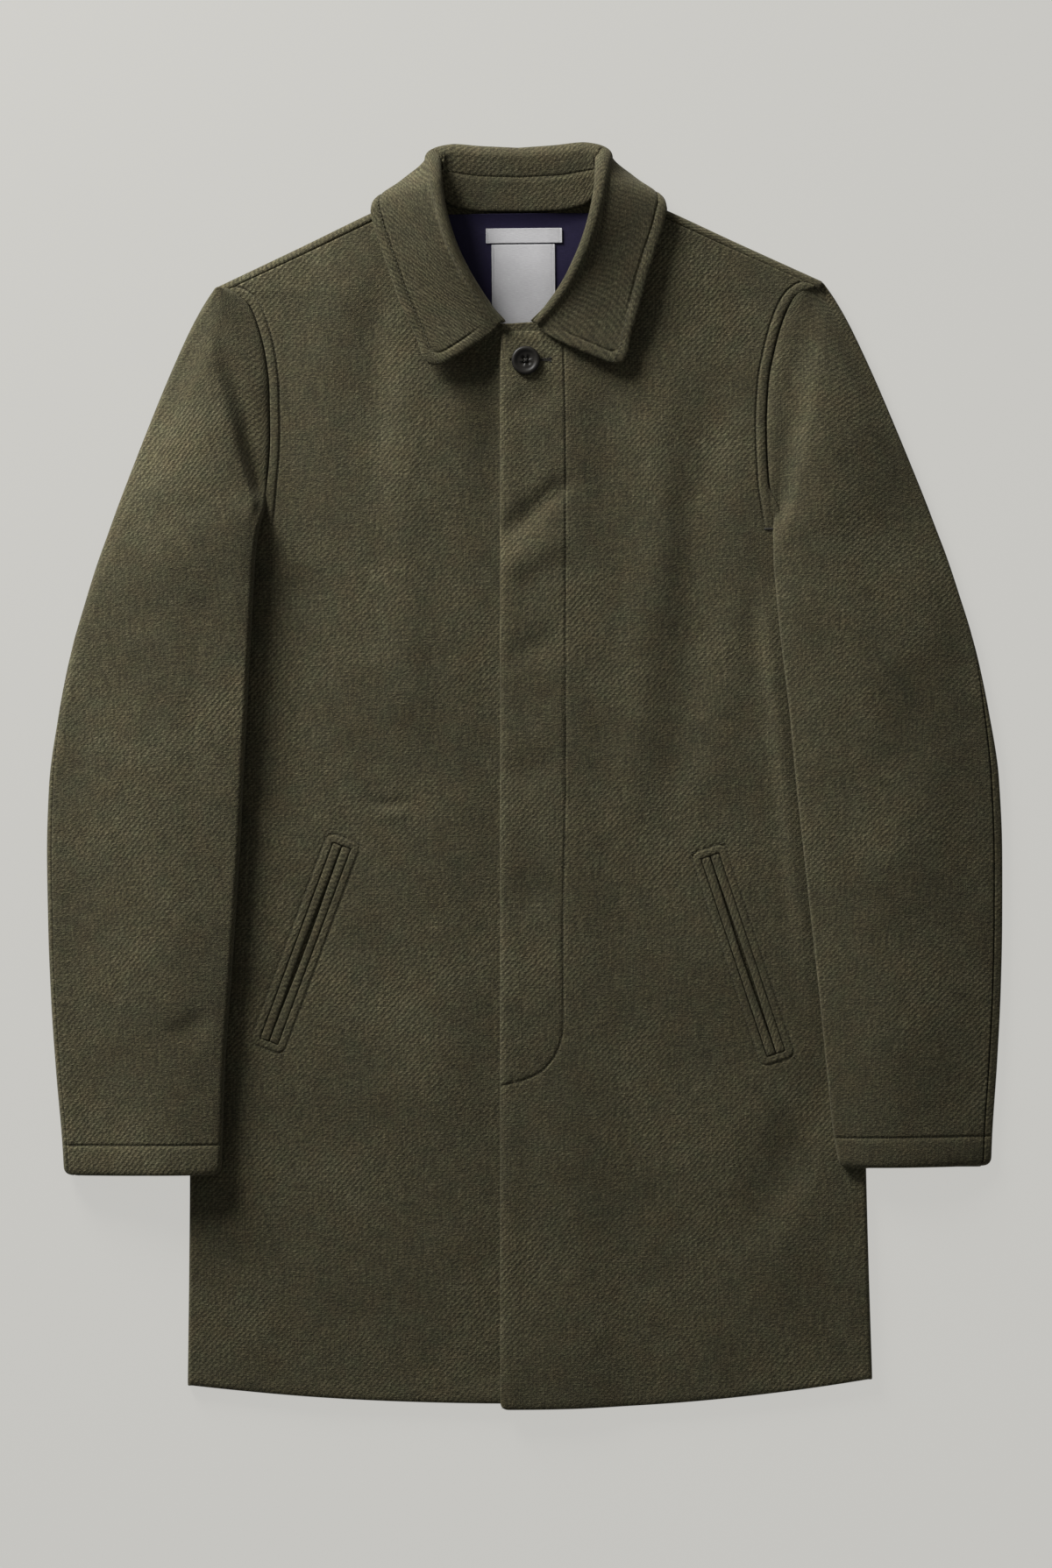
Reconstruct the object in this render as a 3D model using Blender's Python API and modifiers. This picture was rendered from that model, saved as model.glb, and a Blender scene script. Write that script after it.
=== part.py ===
"""Mackintosh with a concealed fly, laid flat and face up on a surface.

Metres, +Z up. The coat lies on the plane z = 0 with its collar towards +Y and its hem towards -Y, and
the origin is on that plane under the middle of its outline. Every panel is a wall of cloth: its outer
face is worked out as rows of points from the tables below, and Solidify thickens it inwards.
Panels are described on the +X side of the coat, which is the wearer's left, and turned over for the other.
"""

import math
from collections import namedtuple

import bmesh
import bpy
import numpy as np
from mathutils import Vector

# Cloth and gaps
CLOTH = 0.0024
COLLAR_CLOTH = 0.0030
LINING_CLOTH = 0.0010
LABEL_CLOTH = 0.0010
SEAM_GAP = 0.0003
FOLD_SEAM_GAP = 0.0023
REST_GAP = 0.0006

# Radii of the rounded folds, and how far the layers stand off each other
SIDE_FOLD = 0.0035
SHOULDER_FOLD = 0.0050
SLEEVE_FOLD = 0.0045
SLEEVE_LOFT = 0.0120
COLLAR_LIFT = 0.0050
COLLAR_LIFT_HALF = 0.1150
COLLAR_LIFT_FADE = 0.0600
COLLAR_LIFT_FOOT_Y = 0.3300
COLLAR_LIFT_RUN = 0.0750
ARMHOLE_EDGE = 0.0100
ARMHOLE_RUN = 0.0500
CROWN_RUN = 0.0900
SLEEVE_CAP_LOFT = 0.0035
SLEEVE_CAP_RUN = 0.0800
SLEEVE_TOP_SPREAD = 0.0700
SLEEVE_UNDER_SPREAD = 0.0160

# Body outline
HEM_SIDE_Y = -0.4700
HEM_FRONT_DROP = 0.0212
HEM_BACK_DROP = 0.0170
HEM_UNDER_RISE = 0.0045
NECK_HALF = 0.0680
NECK_BACK_Y = 0.4378
SHOULDER_TIP = (0.2353, 0.3825)
SHOULDER_SLOPE = 0.464
OVER_EDGE_TOP = -0.0160
OVER_EDGE_HEM = -0.0235
UNDER_EDGE = -0.0280
LAP_END = 0.0300
LAP_FADE = 0.0500
FLY_TOP_Y = 0.3000
UNDERARM_INSET = 0.0119
NECK_TURN = 0.12
NECK_BLEND = 0.0200

# Fastening and pockets
BUTTON_CENTRE = (0.0042, 0.3225)
BUTTON_RADIUS = 0.0111
BUTTON_HEIGHT = 0.0036
BUTTON_RIM = 0.0016
BUTTON_DISH = 0.0009
BUTTON_EDGE = 0.0010
BUTTON_HOLE_RADIUS = 0.0011
BUTTON_HOLE_REACH = 0.0019
POCKET_LENGTH = 0.1620
WELT_WIDTH = 0.0072
POCKET_SLIT = 0.0006
WELT_RAISED = 0.0004
CUTTER_DEPTH = 0.0200
CUTTER_HEIGHT = 0.0080
WELT_ROWS = 8

# Labels at the back of the neck
LABELS = {
    "label_upper": {"x": (-0.0255, 0.0331), "y": (0.4144, 0.4253)},
    "label_lower": {"x": (-0.0212, 0.0274), "y": (0.3430, 0.4128)},
}
LINING_TOP_Y = 0.4366
LINING_FOOT_Y = 0.3300
LINING_HALF_TOP = 0.0640
LINING_HALF_FOOT = 0.0500

BodySection = namedtuple("BodySection", "y side crown")
BODY = [
    BodySection(y=-0.470, side=0.2660, crown=0.0078),
    BodySection(y=-0.380, side=0.2640, crown=0.0078),
    BodySection(y=-0.313, side=0.2628, crown=0.0080),
    BodySection(y=-0.100, side=0.2615, crown=0.0088),
    BodySection(y=0.050, side=0.2600, crown=0.0098),
    BodySection(y=0.140, side=0.2580, crown=0.0107),
    BodySection(y=0.250, side=0.2580, crown=0.0116),
    BodySection(y=0.350, side=0.2580, crown=0.0122),
    BodySection(y=0.460, side=0.2580, crown=0.0112),
]

# One row for each line across the upper fronts: the armhole end, then the fly or neckline end
YokeRow = namedtuple("YokeRow", "arm_y arm_left arm_right over_x over_y under_x under_y turn")
YOKE = [
    YokeRow(0.1220, 0.2585, 0.2585, None, 0.140, None, 0.140, 0.45),
    YokeRow(0.1340, 0.2200, 0.2300, None, 0.178, None, 0.178, 0.15),
    YokeRow(0.1520, 0.1970, 0.2150, None, 0.214, None, 0.214, 0.00),
    YokeRow(0.1910, 0.1960, 0.2020, None, 0.248, None, 0.248, 0.00),
    YokeRow(0.2280, 0.1913, 0.1975, None, 0.282, None, 0.285, 0.00),
    YokeRow(0.2680, 0.1898, 0.1945, None, 0.316, None, 0.320, 0.00),
    YokeRow(0.3030, 0.1916, 0.1948, -0.0133, 0.3457, -0.0160, 0.3520, 0.00),
    YokeRow(0.3290, 0.1965, 0.1975, 0.0150, 0.3480, 0.0120, 0.3495, 0.00),
    YokeRow(0.3510, 0.2028, 0.2027, 0.0400, 0.3700, 0.0400, 0.3700, 0.00),
    YokeRow(0.3680, 0.2110, 0.2097, 0.0540, 0.4020, 0.0540, 0.4020, 0.00),
    YokeRow(0.3740, 0.2180, 0.2175, 0.0630, 0.4300, 0.0630, 0.4300, 0.00),
    YokeRow(0.3778, 0.2305, 0.2305, 0.0690, 0.4515, 0.0690, 0.4515, 0.00),
]

SleeveSection = namedtuple("SleeveSection", "y outer inner_left inner_right hind")
SLEEVE = [
    SleeveSection(y=-0.3055, outer=0.3600, inner_left=0.2418, inner_right=0.2374, hind=0.0080),
    SleeveSection(y=-0.281, outer=0.3612, inner_left=0.2374, inner_right=0.2362, hind=0.0080),
    SleeveSection(y=-0.225, outer=0.3655, inner_left=0.2320, inner_right=0.2338, hind=0.0080),
    SleeveSection(y=-0.170, outer=0.3688, inner_left=0.2270, inner_right=0.2295, hind=0.0080),
    SleeveSection(y=-0.115, outer=0.3705, inner_left=0.2215, inner_right=0.2250, hind=0.0080),
    SleeveSection(y=-0.060, outer=0.3710, inner_left=0.2160, inner_right=0.2208, hind=0.0080),
    SleeveSection(y=-0.005, outer=0.3690, inner_left=0.2105, inner_right=0.2176, hind=0.0075),
    SleeveSection(y=0.048, outer=0.3615, inner_left=0.2060, inner_right=0.2142, hind=0.0050),
    SleeveSection(y=0.100, outer=0.3508, inner_left=0.1998, inner_right=0.2110, hind=0.0010),
    SleeveSection(y=0.140, outer=0.3390, inner_left=0.1956, inner_right=0.2084, hind=-0.0030),
    SleeveSection(y=0.168, outer=0.3300, inner_left=0.1926, inner_right=0.2066, hind=-0.0040),
    SleeveSection(y=0.191, outer=0.3215, inner_left=0.1985, inner_right=0.2040, hind=-0.0040),
    SleeveSection(y=0.228, outer=0.3075, inner_left=0.1913, inner_right=0.1975, hind=-0.0040),
    SleeveSection(y=0.268, outer=0.2915, inner_left=0.1898, inner_right=0.1945, hind=-0.0040),
    SleeveSection(y=0.303, outer=0.2770, inner_left=0.1916, inner_right=0.1948, hind=-0.0040),
    SleeveSection(y=0.329, outer=0.2655, inner_left=0.1965, inner_right=0.1975, hind=-0.0040),
    SleeveSection(y=0.351, outer=0.2550, inner_left=0.2028, inner_right=0.2027, hind=-0.0040),
    SleeveSection(y=0.368, outer=0.2455, inner_left=0.2110, inner_right=0.2097, hind=-0.0040),
    SleeveSection(y=0.374, outer=0.2415, inner_left=0.2180, inner_right=0.2175, hind=-0.0040),
]
SLEEVE_CAP_Y = 0.191
UNDERARM_Y = 0.122
FOLD_RUN = 0.0300
SIDE_CLEAR = 0.0010
ARMHOLE_STEP = 0.0012
HIND_RUN = 0.0060
UNDER_CLEAR = 0.0190
UNDER_CLOSE = 0.0012

# How far in from the outer edge the hidden half of the sleeve starts where it passes the underarm
UnderarmRow = namedtuple("UnderarmRow", "y inner")
UNDERARM = [
    UnderarmRow(y=0.048, inner=0.2270),
    UnderarmRow(y=0.100, inner=0.2560),
    UnderarmRow(y=0.140, inner=0.2660),
    UnderarmRow(y=0.168, inner=0.2180),
]

# The collar from the middle of the back to its front point: the neck seam, the roll, the middle and the
# edge of the fall, the radius of the roll, and how far the fall has passed from under the back to the front
CollarStation = namedtuple("CollarStation", "neck roll middle edge fold over")
COLLAR = [
    CollarStation(
        neck=(0.0000, 0.4390, 0.0132),
        roll=(0.0000, 0.4880, 0.0090),
        middle=(0.0000, 0.4550, 0.0000),
        edge=(0.0000, 0.4250),
        fold=0.0090,
        over=0.0,
    ),
    CollarStation(
        neck=(0.0280, 0.4394, 0.0132),
        roll=(0.0280, 0.4895, 0.0095),
        middle=(0.0300, 0.4550, 0.0000),
        edge=(0.0320, 0.4250),
        fold=0.0090,
        over=0.0,
    ),
    CollarStation(
        neck=(0.0500, 0.4436, 0.0142),
        roll=(0.0500, 0.4912, 0.0110),
        middle=(0.0550, 0.4560, 0.0000),
        edge=(0.0640, 0.4250),
        fold=0.0085,
        over=0.0,
    ),
    CollarStation(
        neck=(0.0625, 0.4520, 0.0160),
        roll=(0.0640, 0.4860, 0.0190),
        middle=(0.0800, 0.4620, 0.0010),
        edge=(0.0920, 0.4280),
        fold=0.0070,
        over=0.0,
    ),
    CollarStation(
        neck=(0.0645, 0.4510, 0.0180),
        roll=(0.0615, 0.4780, 0.0270),
        middle=(0.0925, 0.4620, 0.0040),
        edge=(0.1040, 0.4365),
        fold=0.0062,
        over=0.0,
    ),
    CollarStation(
        neck=(0.0645, 0.4480, 0.0188),
        roll=(0.0592, 0.4690, 0.0325),
        middle=(0.0945, 0.4590, 0.0170),
        edge=(0.1130, 0.4465),
        fold=0.0058,
        over=0.5,
    ),
    CollarStation(
        neck=(0.0640, 0.4410, 0.0190),
        roll=(0.0570, 0.4580, 0.0370),
        middle=(0.0930, 0.4500, 0.0270),
        edge=(0.1150, 0.4380),
        fold=0.0055,
        over=1.0,
    ),
    CollarStation(
        neck=(0.0610, 0.4300, 0.0190),
        roll=(0.0525, 0.4380, 0.0390),
        middle=(0.0850, 0.4330, 0.0300),
        edge=(0.1130, 0.4270),
        fold=0.0055,
        over=1.0,
    ),
    CollarStation(
        neck=(0.0550, 0.4110, 0.0190),
        roll=(0.0460, 0.4120, 0.0370),
        middle=(0.0750, 0.4060, 0.0285),
        edge=(0.1045, 0.4010),
        fold=0.0055,
        over=1.0,
    ),
    CollarStation(
        neck=(0.0430, 0.3850, 0.0185),
        roll=(0.0370, 0.3880, 0.0315),
        middle=(0.0650, 0.3770, 0.0255),
        edge=(0.0925, 0.3640),
        fold=0.0050,
        over=1.0,
    ),
    CollarStation(
        neck=(0.0270, 0.3620, 0.0180),
        roll=(0.0260, 0.3665, 0.0255),
        middle=(0.0520, 0.3530, 0.0225),
        edge=(0.0810, 0.3320),
        fold=0.0045,
        over=1.0,
    ),
    CollarStation(
        neck=(0.0165, 0.3500, 0.0175),
        roll=(0.0162, 0.3515, 0.0222),
        middle=(0.0410, 0.3340, 0.0207),
        edge=(0.0730, 0.3180),
        fold=0.0040,
        over=1.0,
    ),
]
STAND_SHARE = 0.62

# Largest folds of the fronts: a soft trough or ridge from one point to another
Fold = namedtuple("Fold", "start end width height")
FRONT_FOLDS = [
    Fold(start=(0.140, 0.400), end=(0.122, -0.030), width=0.016, height=-0.0012),
    Fold(start=(0.100, 0.260), end=(0.092, 0.020), width=0.020, height=0.0012),
    Fold(start=(0.230, -0.240), end=(0.160, -0.370), width=0.022, height=-0.0013),
    Fold(start=(-0.090, 0.370), end=(-0.085, 0.180), width=0.022, height=0.0011),
]

Pocket = namedtuple("Pocket", "side centre lean")
POCKETS = [
    Pocket(side="left", centre=(0.1686, -0.1398), lean=math.radians(18.0)),
    Pocket(side="right", centre=(0.1710, -0.1278), lean=math.radians(21.0)),
]

Finish = namedtuple("Finish", "colour roughness metallic")
FINISHES = {
    "wool_twill": Finish(colour=(0.068, 0.062, 0.037), roughness=0.95, metallic=0.0),
    "lining": Finish(colour=(0.012, 0.010, 0.030), roughness=0.60, metallic=0.0),
    "label": Finish(colour=(0.460, 0.460, 0.480), roughness=0.75, metallic=0.0),
    "horn": Finish(colour=(0.028, 0.026, 0.024), roughness=0.45, metallic=0.0),
}

# Rows and columns of the panels
HEM_ROWS = 7
FRONT_COLUMNS = 8
FOLD_COLUMNS = 3
BACK_COLUMNS = 14
SHOULDER_ROWS = 4
SLEEVE_COLUMNS = 5
EDGE_COLUMNS = 5
FALL_COLUMNS = 4
ROLL_COLUMNS = 4
STATION_STEPS = 2
STAND_END = 4


def ease(share):
    """0 below 0, 1 above 1, and a smooth step between."""
    share = np.clip(share, 0.0, 1.0)
    return share * share * (3.0 - 2.0 * share)


def smooth_table(keys, values):
    """A curve through a table's values that doesn't overshoot them."""
    keys = np.asarray(keys, float)
    values = np.asarray(values, float)
    steps = np.diff(keys)
    slopes = np.diff(values) / steps
    product = slopes[:-1] * slopes[1:]
    total = np.where(product > 0.0, slopes[:-1] + slopes[1:], 1.0)
    inner = np.where(product > 0.0, 2.0 * product / total, 0.0)
    tangents = np.concatenate([slopes[:1], inner, slopes[-1:]])

    def at(key):
        key = np.clip(key, keys[0], keys[-1])
        i = np.clip(np.searchsorted(keys, key, side="right") - 1, 0, len(steps) - 1)
        s = (key - keys[i]) / steps[i]
        rise = values[i + 1] - values[i]
        bend = s * (1.0 - s) * steps[i]
        return (
            values[i]
            + rise * s * s * (3.0 - 2.0 * s)
            + bend * ((1.0 - s) * tangents[i] - s * tangents[i + 1])
        )

    return at


def column(table, name):
    return [getattr(row, name) for row in table]


side_at = smooth_table(column(BODY, "y"), column(BODY, "side"))
crown_at = smooth_table(column(BODY, "y"), column(BODY, "crown"))
arm_left_at = smooth_table(column(YOKE, "arm_y"), column(YOKE, "arm_left"))
arm_right_at = smooth_table(column(YOKE, "arm_y"), column(YOKE, "arm_right"))
underarm_at = smooth_table(column(UNDERARM, "y"), column(UNDERARM, "inner"))


def ground(x, y):
    """The height of the back's underside, which the collar's fall lifts behind the neck."""
    across = 1.0 - ease((abs(x) - COLLAR_LIFT_HALF) / COLLAR_LIFT_FADE)
    along = ease((y - COLLAR_LIFT_FOOT_Y) / COLLAR_LIFT_RUN)
    return COLLAR_LIFT * across * along


def fold_height(x, y):
    """What the large folds add to the fronts at a point."""
    height = 0.0
    for fold in FRONT_FOLDS:
        start = np.array(fold.start)
        run = np.array(fold.end) - start
        length = np.linalg.norm(run)
        share = ((x - start[0]) * run[0] + (y - start[1]) * run[1]) / length**2
        off = ((x - start[0]) * run[1] - (y - start[1]) * run[0]) / length
        fade = ease(share / 0.25) * ease((1.0 - share) / 0.25)
        height = height + fold.height * fade * np.exp(-((off / fold.width) ** 2))
    return height


def front_top(x, y):
    """The height of the fronts' outer face, without the lap of the fly."""
    above = ease((y - UNDERARM_Y) / ARMHOLE_RUN)
    edge = 2.0 * SIDE_FOLD + (ARMHOLE_EDGE - 2.0 * SIDE_FOLD) * above
    armhole = np.where(x > 0.0, arm_left_at(y), arm_right_at(y))
    edge_x = side_at(y) - SIDE_FOLD + (armhole - side_at(y) + SIDE_FOLD) * above
    rise = ease((edge_x - abs(x)) / CROWN_RUN)
    return ground(x, y) + edge + (crown_at(y) - edge) * rise + fold_height(x, y) * rise


def lap(x):
    """What the front that laps over the other adds to its height."""
    return (CLOTH + 1.5 * REST_GAP) * (1.0 - ease((x - LAP_END) / LAP_FADE))


def hem_y(x, drop):
    """The curve of the hem, lowest in the middle."""
    return HEM_SIDE_Y - drop * (1.0 - (abs(x) / side_at(HEM_SIDE_Y)) ** 2)


def turned_edge(start, direction, turn, steps):
    """Points that run on from start for the length of a folded edge and turn down by an angle on the way."""
    length = math.pi * SIDE_FOLD
    points = []
    for step in range(1, steps + 1):
        angle = turn * step / steps
        radius = length / turn if turn else 0.0
        reach = radius * math.sin(angle) if turn else length * step / steps
        drop = radius * (1.0 - math.cos(angle))
        points.append(start + direction * reach - Vector((0.0, 0.0, drop)))
    return points


def turned_reach(turn):
    """How far a folded edge stands out from where it starts to turn."""
    if not turn:
        return math.pi * SIDE_FOLD
    return math.pi * SIDE_FOLD / turn * math.sin(min(turn, math.pi / 2.0))


def front_rows(side):
    """The rows of one front from its hem to its shoulder seam, each from the fly edge to the side."""
    over = side == "left"
    sign = 1.0 if over else -1.0
    ends = []
    for step in range(HEM_ROWS):
        share = step / HEM_ROWS
        y = HEM_SIDE_Y + (UNDERARM_Y - HEM_SIDE_Y) * share
        ends.append((None, y, float(side_at(y)), y, math.pi, (1.0 - share) ** 2))
    for row in YOKE:
        inner = (row.over_x, row.over_y) if over else (row.under_x, row.under_y)
        arm_x = row.arm_left if over else row.arm_right
        ends.append((*inner, arm_x, row.arm_y, row.turn * math.pi, 0.0))
    rows = []
    for inner_x, inner_y, side_x, side_y, turn, sag in ends:
        if inner_x is None:
            down = (inner_y - FLY_TOP_Y) / (HEM_SIDE_Y - FLY_TOP_Y)
            fly_x = OVER_EDGE_TOP + (OVER_EDGE_HEM - OVER_EDGE_TOP) * down
            inner_x = fly_x if over else UNDER_EDGE
        inner = np.array((inner_x, inner_y))
        outer = np.array((side_x, side_y))
        direction = (outer - inner) / np.linalg.norm(outer - inner)
        fold_start = outer - direction * turned_reach(turn)
        row = []
        for step in range(FRONT_COLUMNS + 1):
            x, y = inner + (fold_start - inner) * step / FRONT_COLUMNS
            drop = HEM_FRONT_DROP - (0.0 if over else HEM_UNDER_RISE)
            y += sag * (hem_y(x, drop) - HEM_SIDE_Y)
            z = front_top(sign * x, y) + (lap(x) if over else 0.0)
            row.append(Vector((x, y, float(z))))
        row += turned_edge(row[-1], Vector((*direction, 0.0)), turn, FOLD_COLUMNS)
        rows.append([Vector((sign * p.x, p.y, p.z)) for p in row])
    return rows


def shoulder_y(x):
    """The fold of the shoulder, or the back neck seam, above a place across the back."""
    shoulder = SHOULDER_TIP[1] + (SHOULDER_TIP[0] - np.maximum(abs(x), NECK_HALF)) * SHOULDER_SLOPE
    dip = 1.0 - (np.minimum(abs(x), NECK_HALF) / NECK_HALF) ** 3
    return shoulder + (NECK_BACK_Y - shoulder) * dip


def back_rows():
    """The rows of the back from its hem, over the fold of the shoulder, to the shoulder seams."""
    shares = np.linspace(-1.0, 1.0, BACK_COLUMNS + 1)
    rows = []
    for step in range(HEM_ROWS):
        share = step / HEM_ROWS
        y = HEM_SIDE_Y + (UNDERARM_Y - HEM_SIDE_Y) * share
        half = side_at(y) - SIDE_FOLD - FOLD_SEAM_GAP
        sag = (1.0 - share) ** 2
        row = []
        for s in shares:
            drop = hem_y(s * half, HEM_BACK_DROP) - HEM_SIDE_Y
            row.append(Vector((s * half, y + sag * drop, 0.0)))
        rows.append(row)
    slope = math.hypot(1.0, SHOULDER_SLOPE)
    top = []
    for s in shares:
        x = s * SHOULDER_TIP[0]
        on_shoulder = ease((abs(x) - NECK_HALF) / NECK_BLEND)
        normal = Vector((math.copysign(SHOULDER_SLOPE, x) * on_shoulder, 1.0, 0.0)) / slope
        turn = math.pi * (NECK_TURN + (1.0 - NECK_TURN) * on_shoulder)
        radius = math.pi * SHOULDER_FOLD / turn
        start = Vector((x, shoulder_y(x), 0.0)) - normal * radius * math.sin(min(turn, math.pi / 2.0))
        top.append((start, normal, turn, radius))
    for k, row in enumerate(YOKE[:-1]):
        inset = UNDERARM_INSET if row.turn else 0.0
        halves = [(row.arm_left if s > 0.0 else row.arm_right) - inset for s in shares]
        share = ease(k / (len(YOKE) - 1))
        level = [row.arm_y + share * (start.y - top[-1][0].y) for start, *_ in top]
        spots = [(s * half, y) for s, half, y in zip(shares, halves, level)]
        rows.append([Vector((x, y, ground(x, y))) for x, y in spots])
    for step in range(SHOULDER_ROWS + 1):
        arc = []
        for start, normal, turn, radius in top:
            angle = turn * step / SHOULDER_ROWS
            point = start + normal * radius * math.sin(angle)
            point.z = ground(start.x, start.y) + radius * (1.0 - math.cos(angle))
            arc.append(point)
        rows.append(arc)
    return [row[::-1] for row in rows]


def sleeve_support(x, y, spread):
    """The height that a sleeve lies on: the body where it covers it, and the surface beside it."""
    edge = side_at(y)
    body = front_top(np.minimum(x, edge - SIDE_FOLD), y) + REST_GAP
    beside = 1.0 - ease((x - edge - SIDE_CLEAR) / spread)
    below = 1.0 - ease((y - UNDERARM_Y) / FOLD_RUN)
    return body * beside * below


def sleeve_top(x, y, inner, outer, inner_height):
    """The height of the sleeve's upper half, from its inner fold or armhole seam to its outer fold."""
    share = np.clip((x - inner) / (outer - inner), 0.0, 1.0)
    passed = ease(share * 1.15)
    bulge = np.sin(math.pi * share) ** 0.8
    edges = inner_height + (2.0 * SLEEVE_FOLD - inner_height) * passed
    loft = (SLEEVE_LOFT - 2.0 * SLEEVE_FOLD) * bulge
    at_inner = sleeve_support(inner, y, SLEEVE_TOP_SPREAD)
    below = sleeve_support(x, y, SLEEVE_TOP_SPREAD) - at_inner * (1.0 - passed)
    cap = SLEEVE_CAP_LOFT * ease((y - UNDERARM_Y) / SLEEVE_CAP_RUN) * bulge
    return edges + loft + np.maximum(below, 0.0) + cap


def sleeve_rows(side):
    """The rows of a sleeve's two halves from its cuff to its head: the top half and the under half."""
    sign = 1.0 if side == "left" else -1.0
    quarter = SLEEVE_FOLD * math.pi / 2.0
    top_rows, under_rows = [], []
    for section in SLEEVE:
        y = section.y
        inner = section.inner_left if side == "left" else section.inner_right
        in_cap = y >= SLEEVE_CAP_Y
        folded = float(ease((SLEEVE_CAP_Y - y) / FOLD_RUN))
        seam_x = inner + (1.5 * SEAM_GAP if in_cap else SLEEVE_FOLD * folded)
        rest = float(front_top(sign * inner, y)) + REST_GAP * folded
        inner_height = rest + SLEEVE_FOLD * (1.0 - math.cos(math.pi * folded))
        hinge_x = section.outer - SLEEVE_FOLD

        def over_edge(reach):
            """The point this far over the outer fold, along the cloth from its outermost line."""
            if reach > quarter:
                x = hinge_x - reach + quarter
                return x, float(sleeve_top(x, y, seam_x, hinge_x, inner_height))
            angle = reach / SLEEVE_FOLD
            return hinge_x + SLEEVE_FOLD * math.cos(angle), SLEEVE_FOLD * (1.0 + math.sin(angle))

        # Top half: round the inner fold from its under side, across, and over the outer fold
        top = []
        for step in range(FOLD_COLUMNS, 0, -1):
            angle = math.pi * folded * step / FOLD_COLUMNS
            seam_step = ARMHOLE_STEP * (FOLD_COLUMNS - step)
            x = seam_x - SLEEVE_FOLD * math.sin(angle) if folded else seam_x + seam_step
            top.append((x, inner_height - SLEEVE_FOLD * (1.0 - math.cos(angle))))
        start_x = seam_x if folded else seam_x + ARMHOLE_STEP * FOLD_COLUMNS
        flat_end = hinge_x - HIND_RUN
        for step in range(SLEEVE_COLUMNS + 1):
            x = start_x + (flat_end - start_x) * step / SLEEVE_COLUMNS
            top.append((x, float(sleeve_top(x, y, seam_x, hinge_x, inner_height))))
        first, last = quarter + HIND_RUN, section.hind + FOLD_SEAM_GAP
        for step in range(1, EDGE_COLUMNS + 1):
            top.append(over_edge(first + (last - first) * step / EDGE_COLUMNS))

        # Under half: from the hind seam round the outer fold, then back along what the sleeve lies on
        under = []
        for step in range(EDGE_COLUMNS + 1):
            under.append(over_edge(section.hind - (section.hind + quarter) * step / EDGE_COLUMNS))
        if in_cap:
            stop = inner + FOLD_SEAM_GAP
            marks = np.linspace(hinge_x, stop, SLEEVE_COLUMNS + 1)[1:]
        else:
            passing = float(underarm_at(y)) if y > UNDERARM[0].y else 0.0
            stop = max(seam_x + FOLD_SEAM_GAP, passing)
            edge = float(side_at(y))
            clear = max(edge + UNDER_CLEAR, stop + 0.003)
            close = max(edge + UNDER_CLOSE, stop + 0.002)
            marks = [(hinge_x + clear) / 2.0, clear, close, (close + stop) / 2.0, stop]
        under += [(x, float(sleeve_support(x, y, SLEEVE_UNDER_SPREAD))) for x in marks]
        top_rows.append([Vector((sign * x, y, z)) for x, z in top])
        under_rows.append([Vector((sign * x, y, z)) for x, z in under])
    return top_rows, under_rows


def collar_lines():
    """Each line across the collar from the neck seam to its edge, from the front point on -X round to +X."""
    count = (len(COLLAR) - 1) * STATION_STEPS
    keys = range(len(COLLAR))
    paths = {}
    for name in ("neck", "roll", "middle", "edge", "fold", "over"):
        values = np.array([np.atleast_1d(getattr(row, name)) for row in COLLAR], float)
        paths[name] = [smooth_table(keys, values[:, i]) for i in range(values.shape[1])]

    def place(name, t):
        return np.array([float(path(t)) for path in paths[name]])

    half = []
    for step in range(count + 1):
        t = step / STATION_STEPS
        neck, roll, middle = (Vector(place(name, t)) for name in ("neck", "roll", "middle"))
        edge_x, edge_y = place("edge", t)
        over, radius = place("over", t)[0], place("fold", t)[0]
        on_front = float(front_top(edge_x, edge_y) + lap(edge_x)) + COLLAR_CLOTH + 2.0 * REST_GAP
        edge = Vector((edge_x, edge_y, over * on_front))
        ahead, behind = place("roll", min(t + 0.2, keys[-1])), place("roll", max(t - 0.2, 0.0))
        along = Vector(ahead - behind).normalized()
        if t < 0.2:
            along = Vector((1.0, 0.0, 0.0))
        up = (roll - neck).normalized()
        out = along.cross(up).normalized()
        base = roll - up * radius
        head = base + out * radius
        heights = (STAND_SHARE / 2.0, STAND_SHARE, (1.0 + STAND_SHARE) / 2.0)
        line = [neck] + [neck.lerp(head, share) for share in heights]
        for turn in range(ROLL_COLUMNS + 1):
            angle = math.pi * turn / ROLL_COLUMNS
            line.append(base + out * radius * math.cos(angle) + up * radius * math.sin(angle))
        first = line[-1]
        for fall in range(1, FALL_COLUMNS + 1):
            share = fall / FALL_COLUMNS
            bow = middle - (first + edge) / 2.0
            line.append(first.lerp(edge, share) + bow * 4.0 * share * (1.0 - share))
        half.append([Vector((p.x, p.y, max(p.z, 0.0))) for p in line])
    mirrored = [[Vector((-p.x, p.y, p.z)) for p in line] for line in half[:0:-1]]
    return mirrored + half


def material(name, finish):
    """The material of one piece, from its row of the finishes."""
    made = bpy.data.materials.new(f"{name}_{finish}")
    made.use_nodes = True
    look = FINISHES[finish]
    shader = made.node_tree.nodes["Principled BSDF"]
    shader.inputs["Base Color"].default_value = (*look.colour, 1.0)
    shader.inputs["Roughness"].default_value = look.roughness
    shader.inputs["Metallic"].default_value = look.metallic
    return made


def add_piece(name, mesh, finish, coat):
    """An object of the coat, with its own material."""
    piece = bpy.data.objects.new(name, mesh)
    piece.data.materials.append(material(name, finish))
    piece.parent = coat
    bpy.context.scene.collection.objects.link(piece)
    return piece


def as_cutter(obj, cutters):
    """Keeps a cutting block out of the finished coat."""
    obj.hide_render = True
    obj.display_type = "WIRE"
    for owner in list(obj.users_collection):
        owner.objects.unlink(obj)
    cutters.objects.link(obj)


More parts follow.
